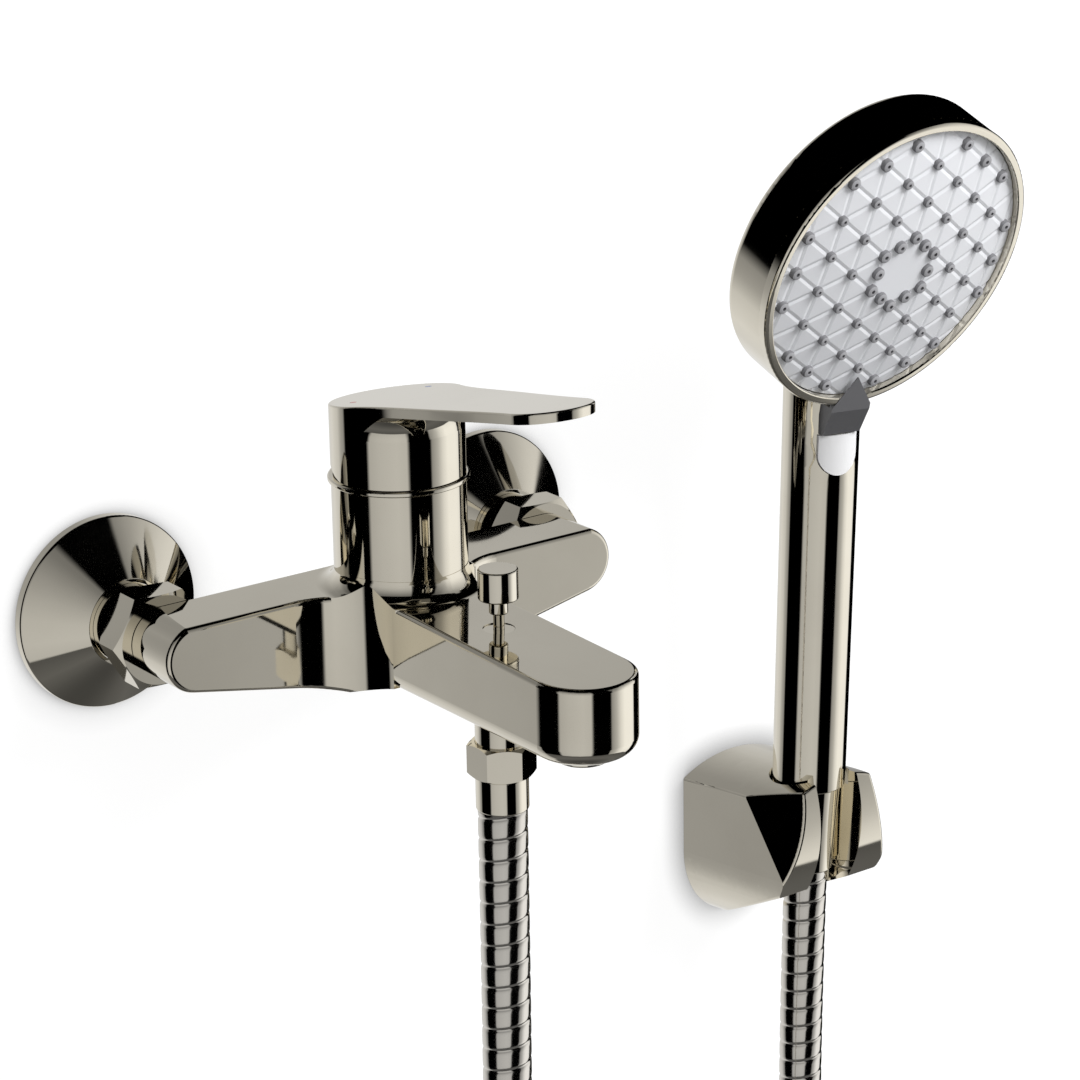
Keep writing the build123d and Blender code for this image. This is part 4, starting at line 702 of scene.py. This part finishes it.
class FAUCET_OT_spray_plate(bpy.types.Operator):
    """Domed face plate with raised triangles between the grooves from nozzle to nozzle"""

    bl_idname = "faucet.spray_plate"
    bl_label = "Face plate"

    DEEP = 0.02
    CUTTER = 0.01
    SOFT_EDGE = 0.00022
    SOFT_FROM = math.radians(6)
    SMOOTH_TO = math.radians(4)

    def execute(self, context):
        face = context.scene.faucet_face
        plate = self.facets(context, face)
        self.trim(context, plate, face)
        plate.data.materials.append(finish_material(
            "face_plastic", "moulded", context.scene.faucet_finish.plate, 0.16, 0.26, 3e-6,
            Metallic=0.12))
        settle(plate, HEAD)
        only(plate)
        bpy.ops.object.shade_smooth_by_angle(angle=self.SMOOTH_TO)
        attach(plate, "handset")
        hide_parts("spray_plate")
        return {"FINISHED"}

    def facets(self, context, face):
        """A sheet of triangles between the nozzles, each raised from its grooves, then domed."""
        deselect()
        bpy.ops.mesh.primitive_circle_add(
            vertices=6, radius=(RINGS + 1) * face.pitch, fill_type="TRIFAN",
            rotation=(0, 0, face.turn - math.radians(30)))
        plate = context.object
        plate.name = "spray_face"
        bpy.ops.object.transform_apply(location=True, rotation=True, scale=True)
        bpy.ops.object.mode_set(mode="EDIT")
        bpy.ops.mesh.select_all(action="SELECT")
        bpy.ops.mesh.subdivide(number_cuts=RINGS)
        bpy.ops.object.mode_set(mode="OBJECT")
        unpick(plate.data)
        for polygon in plate.data.polygons:
            polygon.select = polygon.center.length < face.pitch
        bpy.ops.object.mode_set(mode="EDIT")
        bpy.ops.mesh.select_mode(type="FACE")
        bpy.ops.mesh.dissolve_faces()
        bpy.ops.mesh.select_all(action="SELECT")
        bpy.ops.mesh.inset(thickness=face.groove, depth=face.facet, use_individual=True)
        bpy.ops.mesh.select_mode(type="VERT")
        bpy.ops.mesh.select_all(action="DESELECT")
        bpy.ops.object.mode_set(mode="OBJECT")
        for vertex in plate.data.vertices:
            vertex.co.z += dome_height(face, vertex.co.to_2d().length)
        return plate

    def trim(self, context, plate, face):
        """Gives the sheet its thickness and cuts it to a round plate."""
        only(plate)
        bpy.ops.object.mode_set(mode="EDIT")
        bpy.ops.mesh.select_all(action="SELECT")
        bpy.ops.mesh.normals_make_consistent(inside=False)
        bpy.ops.mesh.extrude_region_move(TRANSFORM_OT_translate={"value": (0, 0, -self.DEEP)})
        bpy.ops.mesh.select_all(action="SELECT")
        bpy.ops.mesh.normals_make_consistent(inside=False)
        bpy.ops.object.mode_set(mode="OBJECT")
        deselect()
        bpy.ops.mesh.primitive_cylinder_add(
            vertices=160, radius=face.radius, depth=self.CUTTER,
            location=(0, 0, face.back + self.CUTTER / 2))
        cutter = context.object
        only(plate)
        cut = plate.modifiers.new("round", "BOOLEAN")
        cut.operation = "INTERSECT"
        cut.solver = "EXACT"
        cut.object = cutter
        soft = plate.modifiers.new("soft_edges", "BEVEL")
        soft.width = self.SOFT_EDGE
        soft.segments = 2
        soft.limit_method = "ANGLE"
        soft.angle_limit = self.SOFT_FROM
        apply_all(plate)
        bpy.data.objects.remove(cutter)


class FAUCET_OT_nozzles(bpy.types.Operator):
    """Rubber nozzles on their mat"""

    bl_idname = "faucet.nozzles"
    bl_label = "Nozzles"

    MAT = 0.002
    MAT_MARGIN = 0.0006
    MAT_ROUND = 0.0004
    # shares of a nozzle's radius
    FOOT = 1.06
    TIP = 0.94
    LIP = 0.28
    HOLE_MARGIN = 0.34
    HOLE_DEPTH = 0.45
    HIGHLIGHT_DEPTH = 0.4

    def execute(self, context):
        face = context.scene.faucet_face
        finish = context.scene.faucet_finish
        looks = [
            finish_material("nozzle_rubber", "moulded", finish.nozzle, 0.3, 0.45, 4e-6),
            # the second colour is a painted highlight on the nozzle tips
            finish_material("nozzle_painted_highlight", "moulded", finish.nozzle_tip, 0.35, 0.5, 4e-6),
        ]
        pieces = [self.mat(context, face)]
        for spot, radius in nozzle_spots(face):
            pieces.append(self.nozzle(context, face, spot, radius))
        for piece in pieces:
            for look in looks:
                piece.data.materials.append(look)
        deselect()
        for piece in pieces:
            piece.select_set(True)
        context.view_layer.objects.active = pieces[0]
        bpy.ops.object.join()
        nozzles = context.object
        nozzles.name = "spray_nozzles"
        settle(nozzles, HEAD)
        only(nozzles)
        bpy.ops.object.shade_smooth_by_angle(angle=math.radians(40))
        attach(nozzles, "handset")
        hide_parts("nozzle_mat")
        return {"FINISHED"}

    def mat(self, context, face):
        """The rubber sheet behind the plate."""
        deselect()
        bpy.ops.mesh.primitive_cylinder_add(
            vertices=96, radius=face.radius - self.MAT_MARGIN, depth=self.MAT,
            location=(0, 0, face.back - self.MAT / 2))
        mat = context.object
        bpy.ops.object.mode_set(mode="EDIT")
        bpy.ops.mesh.select_all(action="SELECT")
        bpy.ops.mesh.bevel(offset=self.MAT_ROUND, segments=2)
        bpy.ops.object.mode_set(mode="OBJECT")
        bpy.ops.object.transform_apply(location=True, rotation=True, scale=True)
        return mat

    def nozzle(self, context, face, spot, radius):
        """One tapered nozzle with a rounded lip and a water hole in its middle, whose outward faces near
        the tip take a paler colour as a painted highlight.
        """
        tip = dome_height(face, spot.length) + face.proud
        depth = tip - face.back
        deselect()
        bpy.ops.mesh.primitive_cone_add(
            vertices=20, radius1=radius * self.FOOT, radius2=radius * self.TIP, depth=depth,
            location=(spot.x, spot.y, face.back + depth / 2))
        nozzle = context.object
        bpy.ops.object.transform_apply(location=True, rotation=True, scale=True)
        self.top_only(nozzle)
        bpy.ops.object.mode_set(mode="EDIT")
        bpy.ops.mesh.bevel(offset=radius * self.LIP, segments=2)
        bpy.ops.object.mode_set(mode="OBJECT")
        self.top_only(nozzle)
        bpy.ops.object.mode_set(mode="EDIT")
        bpy.ops.mesh.inset(thickness=radius * self.HOLE_MARGIN)
        bpy.ops.mesh.extrude_region_move(
            TRANSFORM_OT_translate={"value": (0, 0, -radius * self.HOLE_DEPTH)})
        bpy.ops.object.mode_set(mode="OBJECT")
        # painted highlight: outward faces near the tip get the paler colour
        highlight_from = tip - radius * self.HIGHLIGHT_DEPTH
        for polygon in nozzle.data.polygons:
            polygon.material_index = int(polygon.normal.z > 0.5 and polygon.center.z > highlight_from)
        return nozzle

    def top_only(self, nozzle):
        """Selects the flat end that looks outwards."""
        mesh = nozzle.data
        unpick(mesh)
        top = max(p.center.z for p in mesh.polygons if p.normal.z > 0.9)
        for polygon in mesh.polygons:
            polygon.select = polygon.normal.z > 0.9 and polygon.center.z > top - WELD


# ---------------------------------------------------------------- finishes of the solids


class FAUCET_OT_finishes(bpy.types.Operator):
    """Materials of the pieces that keep their solids' shape"""

    bl_idname = "faucet.finishes"
    bl_label = "Finishes"

    def execute(self, context):
        finish = context.scene.faucet_finish
        looks = {
            "nickel": nickel(context),
            "hose_metal": nickel(context),
            "brass": finish_material(
                "brass", "polish", (0.80, 0.58, 0.28), 0.16, 0.32, 6e-6, Metallic=1.0),
            "steel": finish_material(
                "steel", "polish", (0.62, 0.62, 0.62), 0.14, 0.3, 5e-6, Metallic=1.0),
            "rubber": finish_material("black_rubber", "moulded", (0.02, 0.02, 0.02), 0.5, 0.7, 6e-6),
            "ceramic": finish_material("ceramic", "moulded", (0.85, 0.84, 0.80), 0.1, 0.2, 1e-6),
            "cartridge_plastic": finish_material(
                "cartridge_plastic", "moulded", (0.72, 0.72, 0.70), 0.35, 0.5, 6e-6),
            "grey_plastic": finish_material(
                "grey_plastic", "moulded", finish.band, 0.10, 0.18, 2e-6, Metallic=0.8),
            "button_white": finish_material("button_white", "moulded", finish.button, 0.12, 0.22, 2e-6),
            "hot_mark": finish_material("hot_enamel", "moulded", (0.55, 0.03, 0.02), 0.15, 0.25, 2e-6),
            "cold_mark": finish_material("cold_enamel", "moulded", (0.02, 0.10, 0.45), 0.15, 0.25, 2e-6),
        }
        for node in NODES.values():
            slot = node.data.materials[0].name.split(".")[0] if node.data.materials else "nickel"
            look = looks.get(slot)
            if look:
                node.data.materials[0] = look
        return {"FINISHED"}


# ---------------------------------------------------------------- sidebar


class FAUCET_PT_sidebar(bpy.types.Panel):
    """Lists the sizes and the steps"""

    bl_idname = "FAUCET_PT_sidebar"
    bl_label = "Bath faucet"
    bl_space_type = "VIEW_3D"
    bl_region_type = "UI"
    bl_category = "Faucet"

    def draw(self, context):
        for settings in SETTINGS:
            box = self.layout.box()
            for label in settings.__annotations__:
                box.prop(getattr(context.scene, SETTINGS[settings]), label)
        for step in STEPS:
            self.layout.operator(step.bl_idname)


SETTINGS = {
    StageSettings: "faucet_stage",
    HoseSettings: "faucet_hose",
    FaceSettings: "faucet_face",
    FinishSettings: "faucet_finish",
}
STEPS = (
    FAUCET_OT_stage,
    FAUCET_OT_hose,
    FAUCET_OT_spray_plate,
    FAUCET_OT_nozzles,
    FAUCET_OT_finishes,
)


def register():
    for settings, name in SETTINGS.items():
        bpy.utils.register_class(settings)
        setattr(bpy.types.Scene, name, bpy.props.PointerProperty(type=settings))
    for step in STEPS:
        bpy.utils.register_class(step)
    bpy.utils.register_class(FAUCET_PT_sidebar)


def unregister():
    bpy.utils.unregister_class(FAUCET_PT_sidebar)
    for step in reversed(STEPS):
        bpy.utils.unregister_class(step)
    for settings, name in SETTINGS.items():
        delattr(bpy.types.Scene, name)
        bpy.utils.unregister_class(settings)


def main():
    register()
    bpy.ops.faucet.stage()
    bpy.ops.faucet.hose()
    bpy.ops.faucet.spray_plate()
    bpy.ops.faucet.nozzles()
    bpy.ops.faucet.finishes()


if __name__ == "__main__":
    main()
